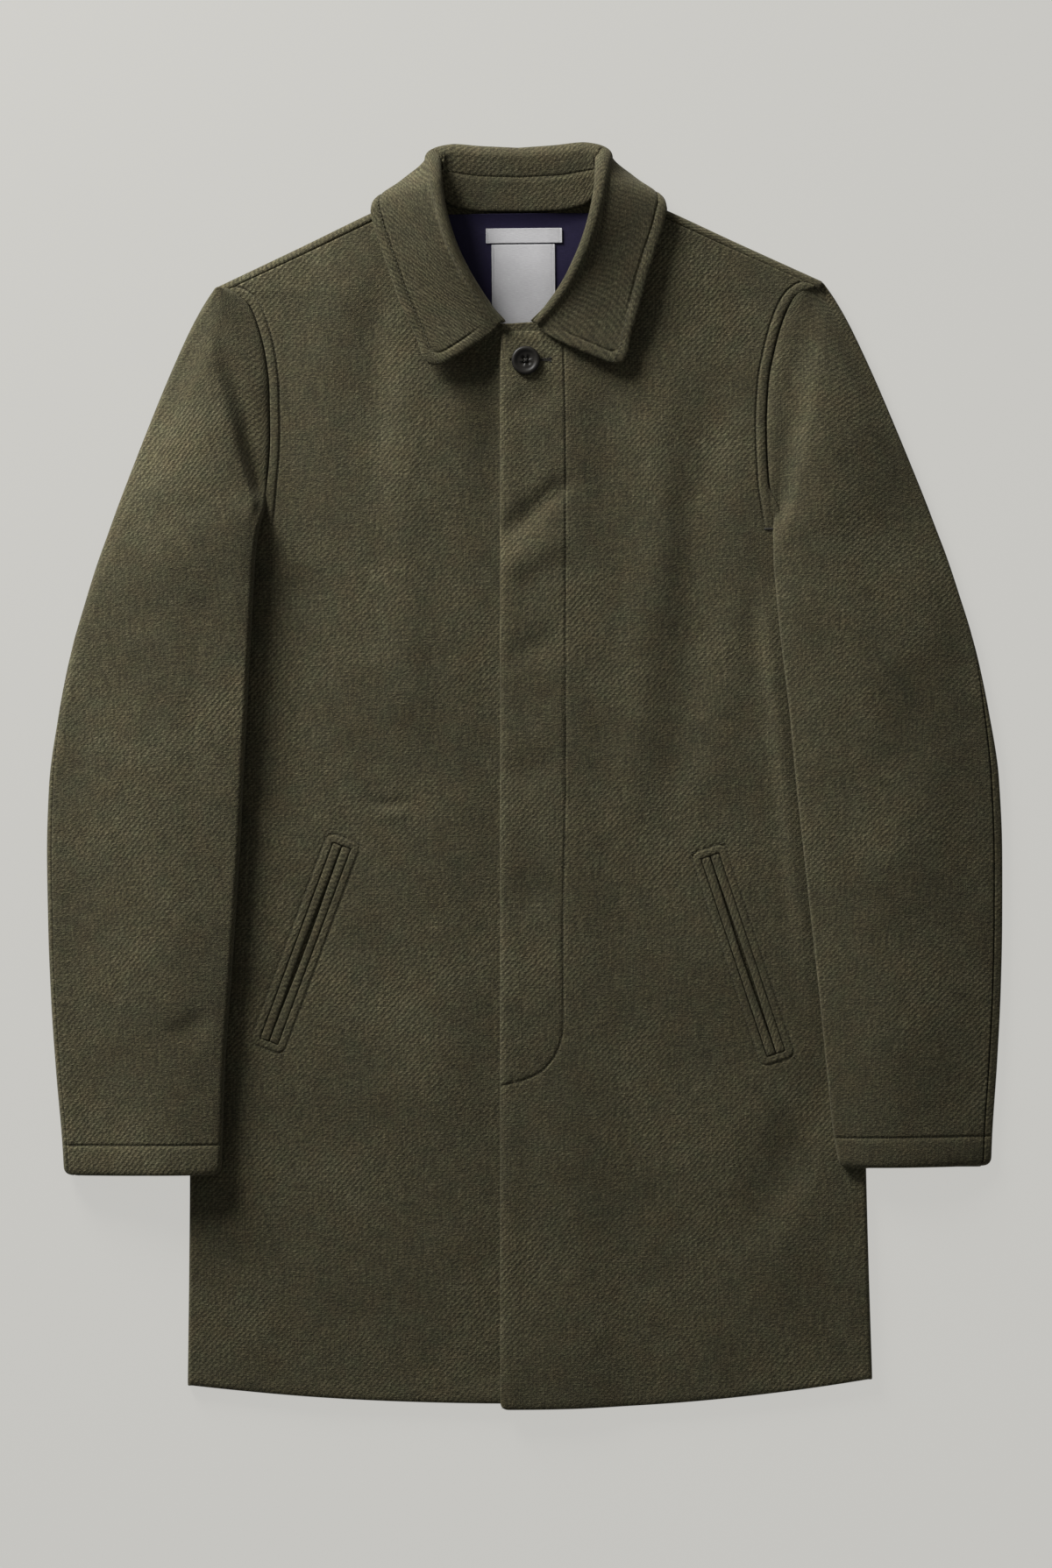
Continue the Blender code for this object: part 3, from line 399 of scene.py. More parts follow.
# Creases of the cloth, each along a path in plan: the width of its flank on the left and on the right of
# the path, its height or depth, and the shares of the path over which it comes and goes. At the fronts'
# sides a share of it is left
SIDE_CREASE = 0.25
CREASE_COLUMNS = "path left right height fade"
CREASES = {
    "front_left": table(
        CREASE_COLUMNS,
        ([(0.158, 0.35), (0.153, 0.277), (0.133, 0.194), (0.131, 0.112), (0.12, 0.003), (0.108, -0.07)],
         0.018, 0.016, -0.0026, (0.15, 0.25)),
        ([(0.112, 0.35), (0.111, 0.275), (0.109, 0.194), (0.095, 0.112), (0.084, 0.003), (0.078, -0.08)],
         0.016, 0.018, 0.0022, (0.2, 0.25)),
        ([(0.176, 0.34), (0.174, 0.277), (0.173, 0.194), (0.164, 0.112), (0.155, 0.003)],
         0.012, 0.014, 0.0014, (0.3, 0.3)),
        ([(0.187, 0.165), (0.1915, 0.1), (0.199, 0.03), (0.208, -0.06), (0.218, -0.15), (0.225, -0.21)],
         0.022, 0.0066, 0.0058, (0.2, 0.3)),
        ([(0.066, 0.33), (0.062, 0.25), (0.058, 0.16)], 0.014, 0.016, -0.0014, (0.3, 0.5)),
        ([(0.048, 0.238), (0.02, 0.216), (-0.019, 0.183)], 0.008, 0.009, -0.0034, (0.35, 0.2)),
        ([(0.038, 0.192), (0.01, 0.174), (-0.019, 0.158)], 0.012, 0.015, 0.0028, (0.35, 0.2)),
        ([(0.034, 0.306), (0.01, 0.292), (-0.018, 0.281)], 0.01, 0.01, -0.0012, (0.4, 0.3)),
        ([(0.04, 0.116), (0.008, 0.1), (-0.02, 0.09)], 0.012, 0.01, -0.0014, (0.4, 0.3)),
        ([(0.034, 0.02), (0.01, 0.006), (-0.02, -0.004)], 0.013, 0.012, -0.0011, (0.4, 0.3)),
        ([(0.036, -0.08), (0.012, -0.092), (-0.02, -0.098)], 0.012, 0.014, -0.0007, (0.4, 0.3)),
        ([(0.24, -0.22), (0.21, -0.295), (0.16, -0.372)], 0.018, 0.024, -0.004, (0.2, 0.5)),
        ([(0.228, -0.3), (0.198, -0.37), (0.17, -0.43)], 0.02, 0.018, 0.0016, (0.4, 0.5)),
        ([(0.08, -0.08), (0.066, -0.22), (0.07, -0.38)], 0.024, 0.02, 0.001, (0.4, 0.4)),
    ),
    "front_right": table(
        CREASE_COLUMNS,
        ([(-0.15, 0.385), (-0.15, 0.29), (-0.147, 0.19)], 0.014, 0.014, 0.0018, (0.3, 0.5)),
        ([(-0.114, 0.41), (-0.111, 0.31), (-0.108, 0.2)], 0.012, 0.014, -0.0019, (0.3, 0.5)),
        ([(-0.092, 0.39), (-0.09, 0.28), (-0.09, 0.11), (-0.096, -0.02)],
         0.018, 0.018, 0.0024, (0.2, 0.35)),
        ([(-0.182, 0.372), (-0.181, 0.31), (-0.176, 0.235)], 0.007, 0.012, -0.0022, (0.3, 0.5)),
        ([(-0.034, 0.35), (-0.02, 0.3), (-0.014, 0.24), (-0.013, 0.15)],
         0.01, 0.023, -0.0078, (0.12, 0.6)),
        ([(-0.017, 0.3), (-0.019, 0.000), (-0.022, -0.48)], 0.012, 0.022, -0.0022, (0.2, 0.02)),
        ([(-0.13, -0.014), (-0.107, -0.02), (-0.082, -0.017)], 0.003, 0.004, -0.0013, (0.5, 0.4)),
        ([(-0.124, -0.023), (-0.104, -0.03), (-0.086, -0.028)], 0.005, 0.005, 0.001, (0.5, 0.4)),
        ([(-0.188, 0.21), (-0.188, 0.12), (-0.19, 0.04), (-0.196, -0.06)],
         0.036, 0.014, -0.0042, (0.25, 0.5)),
        ([(-0.205, -0.32), (-0.19, -0.39), (-0.168, -0.44)], 0.02, 0.024, -0.0014, (0.4, 0.5)),
        ([(-0.062, -0.06), (-0.076, -0.2), (-0.07, -0.36)], 0.022, 0.026, 0.001, (0.4, 0.4)),
    ),
    "sleeve_right": table(
        CREASE_COLUMNS,
        ([(-0.24, -0.178), (-0.264, -0.193), (-0.288, -0.2)], 0.01, 0.008, -0.0018, (0.4, 0.5)),
        ([(-0.29, 0.12), (-0.268, 0.04), (-0.246, -0.01)], 0.014, 0.018, -0.0013, (0.4, 0.4)),
        ([(-0.33, 0.08), (-0.322, -0.06), (-0.318, -0.2)], 0.02, 0.018, 0.0013, (0.4, 0.4)),
    ),
    "sleeve_left": table(
        CREASE_COLUMNS,
        ([(0.318, 0.11), (0.29, 0.02), (0.255, -0.09)], 0.022, 0.026, -0.0019, (0.4, 0.4)),
        ([(0.262, 0.19), (0.276, 0.13), (0.284, 0.06)], 0.016, 0.016, -0.0012, (0.4, 0.5)),
        ([(0.3, 0.2), (0.322, 0.11), (0.336, 0.02)], 0.014, 0.014, 0.0012, (0.4, 0.5)),
    ),
}

# The crest of the fold that runs from each underarm up the sleeve's cap: where it is, how high it stands,
# how wide its flanks are towards the armhole and towards the outer edge, and the hollow by the armhole
# with the width over which it comes up again
CAP_COLUMNS = "y place height flank hollow rise spread"
CAP_CREST = {
    "left": table(
        CAP_COLUMNS,
        (0.15, 0.201, 0.008, 0.005, 0.0000, 0.01, 0.066),
        (0.18, 0.203, 0.0076, 0.0052, 0.0008, 0.014, 0.066),
        (0.215, 0.214, 0.0062, 0.0078, 0.003, 0.02, 0.064),
        (0.268, 0.226, 0.0058, 0.011, 0.0026, 0.022, 0.054),
        (0.32, 0.234, 0.0036, 0.012, 0.0018, 0.02, 0.04),
        (0.357, 0.24, 0.0012, 0.012, 0.0006, 0.014, 0.02),
        (0.378, 0.238, 0.0000, 0.008, 0.0000, 0.008, 0.008),
    ),
    "right": table(
        CAP_COLUMNS,
        (0.15, 0.211, 0.014, 0.005, 0.0000, 0.006, 0.078),
        (0.19, 0.208, 0.0136, 0.0042, 0.0006, 0.006, 0.078),
        (0.212, 0.2062, 0.0118, 0.0036, 0.0024, 0.006, 0.072),
        (0.226, 0.2104, 0.0104, 0.0042, 0.0034, 0.007, 0.066),
        (0.252, 0.2188, 0.008, 0.0056, 0.0036, 0.008, 0.056),
        (0.279, 0.2254, 0.006, 0.0068, 0.0028, 0.008, 0.046),
        (0.32, 0.238, 0.0034, 0.008, 0.0012, 0.008, 0.028),
        (0.357, 0.245, 0.0012, 0.008, 0.0003, 0.008, 0.01),
        (0.378, 0.238, 0.0002, 0.007, 0.0000, 0.007, 0.008),
    ),
}

# Slow unevenness that any laid cloth has: each wave's length, heading, phase and height
WAVES = table(
    "length heading phase height",
    (0.21, 0.3, 0.4, 0.00045),
    (0.15, 1.7, 2.1, 0.0003),
    (0.097, 2.5, 4.0, 0.0002),
    (0.071, 0.95, 1.3, 0.00013),
    (0.043, 2.05, 5.2, 0.00007),
    (0.029, 0.1, 3.3, 0.00004),
)

# Spacing of the grids and of points along paths
CLOTH_STEP = 0.0032
BACK_STEP = 0.0080
BACK_COLUMNS = 121
BACK_ROWS = 70
FOLD_POINTS = 13
CREASE_STEP = 0.0120
PATH_STEP = 0.0060
EDGE_STEPS = np.array([0.0, 0.0004, 0.0010, 0.0018, 0.0028, 0.0041, 0.0056, 0.0074, 0.0098])
CUFF_STEPS = np.array([-0.0020, -0.0013, -0.0007, 0.0, 0.0007, 0.0013, 0.0020])
SLEEVE_HEAD = 0.0120
COLLAR_NEAR_EDGE = np.array([
    0.0200, 0.0165, 0.0140, 0.0122, 0.0112, 0.0105, 0.0100, 0.0096, 0.0092, 0.0088, 0.0084,
    0.0079, 0.0072, 0.0060, 0.0047, 0.0034, 0.0023, 0.0014, 0.0007, 0.0003, 0.0,
])
SEWN_BAND = 0.0034
SEWN_END = 0.0100
SLIT_BAND = 0.0260
SEWN_CUTS = 4

# Camera, from where the photograph was taken: straight above, and turned a little
VIEW_CENTRE = (0.0013, -0.0055)
VIEW_HEIGHT = 1.2165
CAMERA_DISTANCE = 3.5
CAMERA_TURN = math.radians(-0.544)
VIEW_LEVEL = 0.010
SENSOR = 0.036

# Surface and light
FLOOR_SIZE = 8.0
FLOOR_Z = -0.0003
FLOOR_COLOUR = (0.045, 0.0444, 0.0426)
FLOOR_GLOW = (0.528, 0.522, 0.500)
KEY_PLACE = (-1.32, 1.96, 0.80)
KEY_SIZE = 1.05
KEY_POWER = 174.0
KEY_COLOUR = (1.0, 0.985, 0.96)
SKY = 0.25


def ease(share):
    """0 below 0, 1 above 1, and a smooth step between."""
    share = np.clip(share, 0.0, 1.0)
    return share * share * (3.0 - 2.0 * share)


def smooth_table(keys, values):
    """A curve through a table's values that doesn't overshoot them."""
    keys = np.asarray(keys, float)
    values = np.asarray(values, float)
    steps = np.diff(keys)
    slopes = np.diff(values) / steps
    product = slopes[:-1] * slopes[1:]
    total = np.where(product > 0.0, slopes[:-1] + slopes[1:], 1.0)
    inner = np.where(product > 0.0, 2.0 * product / total, 0.0)
    tangents = np.concatenate([slopes[:1], inner, slopes[-1:]])

    def at(key):
        key = np.clip(key, keys[0], keys[-1])
        i = np.clip(np.searchsorted(keys, key, side="right") - 1, 0, len(steps) - 1)
        s = (key - keys[i]) / steps[i]
        rise = values[i + 1] - values[i]
        bend = s * (1.0 - s) * steps[i]
        return (
            values[i]
            + rise * s * s * (3.0 - 2.0 * s)
            + bend * ((1.0 - s) * tangents[i] - s * tangents[i + 1])
        )

    return at


def column(rows, name):
    return [getattr(row, name) for row in rows]


def curve(rows, key, name):
    """A smooth curve of one column of a table over another."""
    return smooth_table(column(rows, key), column(rows, name))


side_at = curve(BODY, "y", "side")
crown_at = curve(BODY, "y", "crown")
outer_at = curve(SLEEVE, "y", "outer")
hind_at = curve(SLEEVE, "y", "hind")
underarm_at = curve(UNDERARM, "y", "inner")
arm_at = {side: curve(YOKE, "arm_y", f"arm_{side}") for side in SIDES}
inner_at = {side: curve(SLEEVE, "y", f"inner_{side}") for side in SIDES}


# Paths and relief

def smooth_path(points, step=PATH_STEP):
    """Points along a smooth curve through a few given ones."""
    points = np.asarray(points, float)
    reach = np.concatenate([[0.0], np.cumsum(np.linalg.norm(np.diff(points, axis=0), axis=1))])
    marks = np.linspace(0.0, reach[-1], max(2, int(reach[-1] / step)) + 1)
    return np.stack([smooth_table(reach, points[:, i])(marks) for i in range(points.shape[1])], axis=1)


def near_path(path, x, y):
    """How far points in plan are from a path, on which hand of it, and how far along it from 0 to 1."""
    best = np.full(np.shape(x), np.inf)
    hand = np.zeros(np.shape(x))
    along = np.zeros(np.shape(x))
    lengths = np.linalg.norm(np.diff(path, axis=0), axis=1)
    starts = np.concatenate([[0.0], np.cumsum(lengths)])
    for (ax, ay), (bx, by), start, length in zip(path[:-1], path[1:], starts, lengths):
        run_x = (bx - ax) / length
        run_y = (by - ay) / length
        reach = np.clip((x - ax) * run_x + (y - ay) * run_y, 0.0, length)
        off_x = x - ax - reach * run_x
        off_y = y - ay - reach * run_y
        distance = np.hypot(off_x, off_y)
        nearer = distance < best
        best = np.where(nearer, distance, best)
        hand = np.where(nearer, np.sign(run_x * off_y - run_y * off_x), hand)
        along = np.where(nearer, (start + reach) / starts[-1], along)
    return best, hand, along


def crease_height(panel, x, y):
    """What the creases and the slow unevenness add to a panel at points in plan."""
    height = np.zeros(np.shape(x))
    for crease in CREASES.get(panel, []):
        distance, hand, along = near_path(smooth_path(crease.path, CREASE_STEP), x, y)
        width = np.where(hand > 0.0, crease.left, crease.right)
        fade = ease(along / crease.fade[0]) * ease((1.0 - along) / crease.fade[1])
        height += crease.height * fade * np.exp(-((distance / width) ** 2))
    shift = float(len(panel)) + 3.0 * panel.endswith("left")
    for wave in WAVES:
        turned = x * math.cos(wave.heading) + y * math.sin(wave.heading)
        height += wave.height * np.sin(2.0 * math.pi * turned / wave.length + wave.phase * shift)
    return height


def groove(distance):
    """The dip that a line of stitches pulls into the cloth."""
    return -STITCH_DEPTH * np.exp(-((distance / STITCH_WIDTH) ** 2))


def puff(distance, width, height, fullness=0.7):
    """The padded look of doubled cloth between two sewn lines."""
    return height * np.sin(math.pi * np.clip(distance / width, 0.0, 1.0)) ** fullness


def edge_roll(distance, width, depth):
    """How far a turned edge rounds down, from nothing at its width to its depth at the edge."""
    inside = 1.0 - np.clip(distance / width, 0.0, 1.0)
    return -depth * (1.0 - np.sqrt(1.0 - np.minimum(inside, 0.9995) ** 2))


# The body's form

def ground(x, y):
    """The height of the back's underside, which the collar's fall lifts behind the neck."""
    across = 1.0 - ease((abs(x) - COLLAR_LIFT_HALF) / COLLAR_LIFT_FADE)
    along = ease((y - COLLAR_LIFT_FOOT_Y) / COLLAR_LIFT_RUN)
    return COLLAR_LIFT * across * along


def front_rise(x, y):
    """How far a point of the fronts is up from their sides, from 0 to 1, and the height of the sides."""
    above = ease((y - UNDERARM_Y) / ARMHOLE_RUN)
    edge = 2.0 * SIDE_FOLD + (ARMHOLE_EDGE - 2.0 * SIDE_FOLD) * above
    armhole = np.where(x > 0.0, arm_at["left"](y), arm_at["right"](y))
    edge_x = side_at(y) - SIDE_FOLD + (armhole - side_at(y) + SIDE_FOLD) * above
    return ease((edge_x - abs(x)) / CROWN_RUN), edge


def front_form(x, y):
    """The height of the fronts' outer face, without creases, seams or the lap of the fly."""
    rise, edge = front_rise(x, y)
    level = ease((BULK_HEAD_Y - y) / BULK_HEAD_RUN) * ease((y - BULK_FOOT_Y) / BULK_FOOT_RUN)
    bulk = BULK * level * np.exp(-(((abs(x) - BULK_X) / BULK_SPREAD) ** 2))
    return ground(x, y) + edge + (crown_at(y) - edge) * rise + bulk * ease(rise * 2.5)


def lap(x):
    """What the front that laps over the other adds to its height."""
    return LAP * (1.0 - ease((x - LAP_END) / LAP_FADE))


def hem_y(x, drop):
    """The curve of the hem, lowest in the middle."""
    return HEM_SIDE_Y - drop * (1.0 - (abs(x) / side_at(HEM_SIDE_Y)) ** 2)


def fly_x(y):
    """The edge of the front that laps over."""
    return OVER_EDGE_TOP + (OVER_EDGE_HEM - OVER_EDGE_TOP) * (y - FLY_TOP_Y) / (HEM_SIDE_Y - FLY_TOP_Y)


def armhole_line(side):
    """The armhole seam in plan, from the underarm to the shoulder."""
    y = np.linspace(YOKE[2].arm_y, YOKE[-1].arm_y, 60)
    return np.stack([SIDES[side] * arm_at[side](y), y], axis=1)


def pocket_axes(side):
    """The middle of a pocket's mouth in plan, and the directions along and across it."""
    pocket = POCKETS[side]
    sign = SIDES[side]
    along = np.array((-sign * math.sin(pocket.lean), math.cos(pocket.lean)))
    across = np.array((along[1], -along[0]))
    return (sign * pocket.centre[0], pocket.centre[1]), along, across


def pocket_place(side, x, y):
    """Points in plan as distances along and across a pocket's mouth from its middle."""
    centre, along, across = pocket_axes(side)
    off_x = x - centre[0]
    off_y = y - centre[1]
    return off_x * along[0] + off_y * along[1], off_x * across[0] + off_y * across[1]


def pocket_edge(side, x, y):
    """How far points in plan are outside the welts of a pocket, and below 0 inside them."""
    along, across = pocket_place(side, x, y)
    over_along = abs(along) - POCKET_LENGTH / 2.0
    over_across = abs(across) - WELT_WIDTH
    outside = np.hypot(np.maximum(over_along, 0.0), np.maximum(over_across, 0.0))
    return outside + np.minimum(np.maximum(over_along, over_across), 0.0)


def pocket_relief(side, x, y):
    """The sewn frame round a pocket's welts, and the recess that the welts lie in."""
    edge = pocket_edge(side, x, y)
    ring = puff(edge, POCKET_FRAME, POCKET_PUFF, FLAT_TOPPED) * (edge > 0.0)
    recess = -POCKET_DEPTH * (1.0 - ease((edge + POCKET_WALL / 2.0) / POCKET_WALL))
    return ring + FAINT * groove(edge - POCKET_FRAME) + recess


def fly_relief(x, y):
    """The fly's sewn line, its rolled edge and head, and the slit of the buttonhole."""
    from_stitch, _, _ = near_path(smooth_path(FLY_STITCH), x, y)
    from_edge = x - fly_x(y)
    relief = groove(from_stitch) + edge_roll(from_edge, EDGE_ROLL, FLY_ROLL)
    relief += puff(from_edge, FLY_PUFF_WIDTH, FLY_PUFF)
    from_slit = np.hypot(y - BUTTONHOLE_END[1], np.maximum(x - BUTTONHOLE_END[0], 0.0))
    slit = np.exp(-((from_slit / BUTTONHOLE_SLIT) ** 2)) * (abs(x - SLIT_MIDDLE_X) < SLIT_REACH)
    head = edge_roll(FLY_HEAD_Y - y, EDGE_ROLL, FLY_HEAD_ROLL)
    head *= 1.0 - ease((x - FLY_HEAD_X) / FLY_HEAD_FADE)
    return relief - BUTTONHOLE_DEPTH * slit + head


def sewn_relief(side, x, y):
    """What the seams, sewn lines and rolled edges add to a front."""
    from_arm, _, _ = near_path(armhole_line(side), x, y)
    worn = ease((y - ARMHOLE_STITCH_FOOT) / ARMHOLE_STITCH_RUN)
    relief = worn * (puff(from_arm, ARMHOLE_STITCH, ARMHOLE_PUFF) + groove(from_arm - ARMHOLE_STITCH))
    relief += pocket_relief(side, x, y)
    relief += edge_roll(y - hem_y(x, FRONT_DROP[side]), EDGE_ROLL, HEM_ROLL)
    return relief + fly_relief(x, y) if side == "left" else relief


def front_height(side, x, y):
    """The height of a front's outer face with everything on it."""
    rise, _ = front_rise(x, y)
    creased = crease_height(f"front_{side}", x, y) * (SIDE_CREASE + (1.0 - SIDE_CREASE) * rise)
    height = front_form(x, y) + creased + sewn_relief(side, x, y)
    return height + lap(x) if side == "left" else height


# Grids

def row_lengths(grid):
    """The distance along each row of a grid from its first point."""
    steps = np.linalg.norm(np.diff(grid, axis=1), axis=2)
    return np.concatenate([np.zeros((len(grid), 1)), np.cumsum(steps, axis=1)], axis=1)


def inset_rows(grid, start, end):
    """The grid with its rows drawn in from both ends, for the room that rounded edges take at a seam."""
    made = np.empty_like(grid)
    for row, (points, reach) in enumerate(zip(grid, row_lengths(grid))):
        marks = start + (reach[-1] - start - end) * reach / reach[-1]
        for axis in range(3):
            made[row, :, axis] = np.interp(marks, reach, points[:, axis])
    return made


def inset(grid, left=SEAM_INSET, right=SEAM_INSET, foot=SEAM_INSET, head=SEAM_INSET):
    """A grid drawn in from its four edges."""
    grid = inset_rows(grid, left, right)
    return inset_rows(grid.transpose(1, 0, 2), foot, head).transpose(1, 0, 2)


def round_corner(grid, at_head, at_right, radius):
    """The grid with one of its corners rounded off."""
    view = grid[::-1] if at_head else grid
    view = view[:, ::-1] if at_right else view
    from_side = row_lengths(view)
    from_end = row_lengths(view.transpose(1, 0, 2)).T
    away = 1.0 - from_side / radius
    up = 1.0 - from_end / radius
    near = (away > 0.0) & (up > 0.0)
    size = np.hypot(away, up)
    shrink = np.where(near, np.maximum(away, up) / np.maximum(size, 1e-9), 1.0)
    inward = np.gradient(view, axis=1)
    upward = np.gradient(view, axis=0)
    inward /= np.maximum(np.linalg.norm(inward, axis=2, keepdims=True), 1e-9)
    upward /= np.maximum(np.linalg.norm(upward, axis=2, keepdims=True), 1e-9)
    move = np.where(near, 1.0 - shrink, 0.0) * radius
    view += (move * away)[..., None] * inward + (move * up)[..., None] * upward
    return grid


def grid_normals(grid):
    across = np.gradient(grid, axis=1)
    up = np.gradient(grid, axis=0)
    normals = np.cross(across, up)
    return normals / np.maximum(np.linalg.norm(normals, axis=2, keepdims=True), 1e-12)


def grid_area(grid):
    """The area of the cloth that a grid stands for."""
    one = np.cross(grid[1:, 1:] - grid[:-1, :-1], grid[1:, :-1] - grid[:-1, 1:])
    return float(np.linalg.norm(one, axis=2).sum() / 2.0)


def cloth_marks(grid, turn=0.0):
    """Each point's place on the flat cloth, for the weave: across, up and a number for the panel."""
    reach = row_lengths(grid)
    middle = grid.shape[1] // 2
    across = reach - reach[:, middle : middle + 1] + grid[:, middle : middle + 1, 0]
    up = row_lengths(grid.transpose(1, 0, 2)).T + grid[0, middle, 1]
    made = np.zeros(grid.shape)
    made[..., 0] = across * math.cos(turn) + up * math.sin(turn)
    made[..., 1] = up * math.cos(turn) - across * math.sin(turn)
    return made


def shell_mesh(name, grid, thickness, marks, normals=None):
    """A closed mesh of a sheet of cloth: its outer face, its inner face and rounded edges."""
    rows, columns = grid.shape[:2]
    normals = grid_normals(grid) if normals is None else normals
    thick = np.broadcast_to(thickness, (rows, columns))
    inner = grid - normals * thick[..., None]
    number = np.arange(rows * columns).reshape(rows, columns)
    loop = np.concatenate([number[0, :-1], number[:-1, -1], number[-1, :0:-1], number[:0:-1, 0]])
    flat = grid.reshape(-1, 3)
    edge = flat[loop]
    edge_normal = normals.reshape(-1, 3)[loop]
    half = thick.reshape(-1)[loop][:, None] / 2.0
    ahead = np.roll(edge, -1, axis=0) - np.roll(edge, 1, axis=0)
    outward = np.cross(ahead, edge_normal)
    outward /= np.maximum(np.linalg.norm(outward, axis=1, keepdims=True), 1e-12)
    rings = []
    for step in range(1, RIM_STEPS):
        angle = math.pi * step / RIM_STEPS
        ring = edge - edge_normal * half * (1.0 - math.cos(angle)) + outward * half * math.sin(angle)
        rings.append(ring)
    points = np.concatenate([flat, inner.reshape(-1, 3), *rings])
    count = rows * columns
    quads = np.stack([number[:-1, :-1], number[:-1, 1:], number[1:, 1:], number[1:, :-1]], axis=-1)
    faces = [quads.reshape(-1, 4), quads.reshape(-1, 4)[:, ::-1] + count]
    lines = [loop]
    for step in range(RIM_STEPS - 1):
        lines.append(2 * count + step * len(loop) + np.arange(len(loop)))
    lines.append(loop + count)
    for above, below in zip(lines[:-1], lines[1:]):
        faces.append(np.stack([above, below, np.roll(below, -1), np.roll(above, -1)], axis=-1))
    faces = np.concatenate(faces)
    mesh = bpy.data.meshes.new(name)
    mesh.vertices.add(len(points))
    mesh.vertices.foreach_set("co", points.ravel())
    mesh.loops.add(faces.size)
    mesh.loops.foreach_set("vertex_index", faces.ravel())
    mesh.polygons.add(len(faces))
    mesh.polygons.foreach_set("loop_start", np.arange(len(faces)) * 4)
    mesh.update(calc_edges=True)
    mesh.shade_smooth()
    flat_marks = marks.reshape(-1, 3)
    weave = np.concatenate([flat_marks, flat_marks] + [flat_marks[loop]] * (RIM_STEPS - 1))
    mesh.attributes.new("weave", "FLOAT_VECTOR", "POINT").data.foreach_set("vector", weave.ravel())
    return mesh


def refine(mesh, outer_count, near, height):
    """Cuts the outer face's squares smaller beside sewn lines and lays their points on the surface."""
    shape = bmesh.new()
    shape.from_mesh(mesh)
    shape.verts.ensure_lookup_table()
    places = np.array([vert.co for vert in shape.verts])
    chosen = near(places[:, 0], places[:, 1])
    chosen[outer_count:] = False
    edges = [e for e in shape.edges if chosen[e.verts[0].index] and chosen[e.verts[1].index]]
    bmesh.ops.subdivide_edges(shape, edges=edges, cuts=SEWN_CUTS, use_grid_fill=True)
    shape.verts.ensure_lookup_table()
    fresh = list(shape.verts[len(places):])
    x = np.array([vert.co.x for vert in fresh])
    y = np.array([vert.co.y for vert in fresh])
    for vert, z in zip(fresh, height(x, y)):
        vert.co.z = z
    shape.to_mesh(mesh)
    shape.free()
    mesh.shade_smooth()


# Materials

def node_maker(material):
    """Short ways to add nodes to a material and to join them."""
    tree = material.node_tree

    def link(source, target):
        tree.links.new(source, target)

    def math_node(operation, first, second=0.0, third=0.0):
        node = tree.nodes.new("ShaderNodeMath")
        node.operation = operation
        for socket, value in zip(node.inputs, (first, second, third)):
            if isinstance(value, (int, float)):
                socket.default_value = value
            else:
                link(value, socket)
        return node.outputs[0]

    def noise(vector, scale, detail=2.0, roughness=0.5, stretch=(1.0, 1.0, 1.0), turn=0.0):
        mapping = tree.nodes.new("ShaderNodeMapping")
        mapping.inputs["Rotation"].default_value = (0.0, 0.0, turn)
        mapping.inputs["Scale"].default_value = stretch
        link(vector, mapping.inputs["Vector"])
        node = tree.nodes.new("ShaderNodeTexNoise")
        node.inputs["Scale"].default_value = scale
        node.inputs["Detail"].default_value = detail
        node.inputs["Roughness"].default_value = roughness
        link(mapping.outputs["Vector"], node.inputs["Vector"])
        return node.outputs["Fac"]

    def ramp(factor, stops):
        node = tree.nodes.new("ShaderNodeValToRGB")
        while len(node.color_ramp.elements) < len(stops):
            node.color_ramp.elements.new(0.5)
        for element, (place, colour) in zip(node.color_ramp.elements, stops):
            element.position = place
            element.color = (*colour, 1.0)
        link(factor, node.inputs["Fac"])
        return node.outputs["Color"]

    def mix(factor, first, second, blend="MIX"):
        node = tree.nodes.new("ShaderNodeMix")
        node.data_type = "RGBA"
        node.blend_type = blend
        for socket, value in zip((node.inputs[0], node.inputs[6], node.inputs[7]), (factor, first, second)):
            if isinstance(value, (int, float)):
                socket.default_value = value
            elif isinstance(value, tuple):
                socket.default_value = (*value, 1.0)
            else:
                link(value, socket)
        return node.outputs[2]

    def spread(value, low, high):
        node = tree.nodes.new("ShaderNodeMapRange")
        node.inputs["To Min"].default_value = low
        node.inputs["To Max"].default_value = high
        link(value, node.inputs["Value"])
        return node.outputs["Result"]

    def bump(height, distance):
        node = tree.nodes.new("ShaderNodeBump")
        node.inputs["Distance"].default_value = distance
        link(height, node.inputs["Height"])
        return node.outputs["Normal"]

    return link, math_node, noise, ramp, mix, spread, bump


def start_material(name, roughness, sheen=0.0, sheen_tint=(1.0, 1.0, 1.0), specular=0.3):
    material = bpy.data.materials.new(name)
    material.use_nodes = True
    shader = material.node_tree.nodes["Principled BSDF"]
    shader.inputs["Roughness"].default_value = roughness
    shader.inputs["Sheen Weight"].default_value = sheen
    shader.inputs["Sheen Roughness"].default_value = 0.45
    shader.inputs["Sheen Tint"].default_value = (*sheen_tint, 1.0)
    shader.inputs["Specular IOR Level"].default_value = specular
    return material, shader


def cloth_vector(material):
    """The place on the flat cloth, from the mesh."""
    node = material.node_tree.nodes.new("ShaderNodeAttribute")
    node.attribute_name = "weave"
    return node.outputs["Vector"]


WALE = 0.0033
WALE_LEAN = math.radians(48.0)


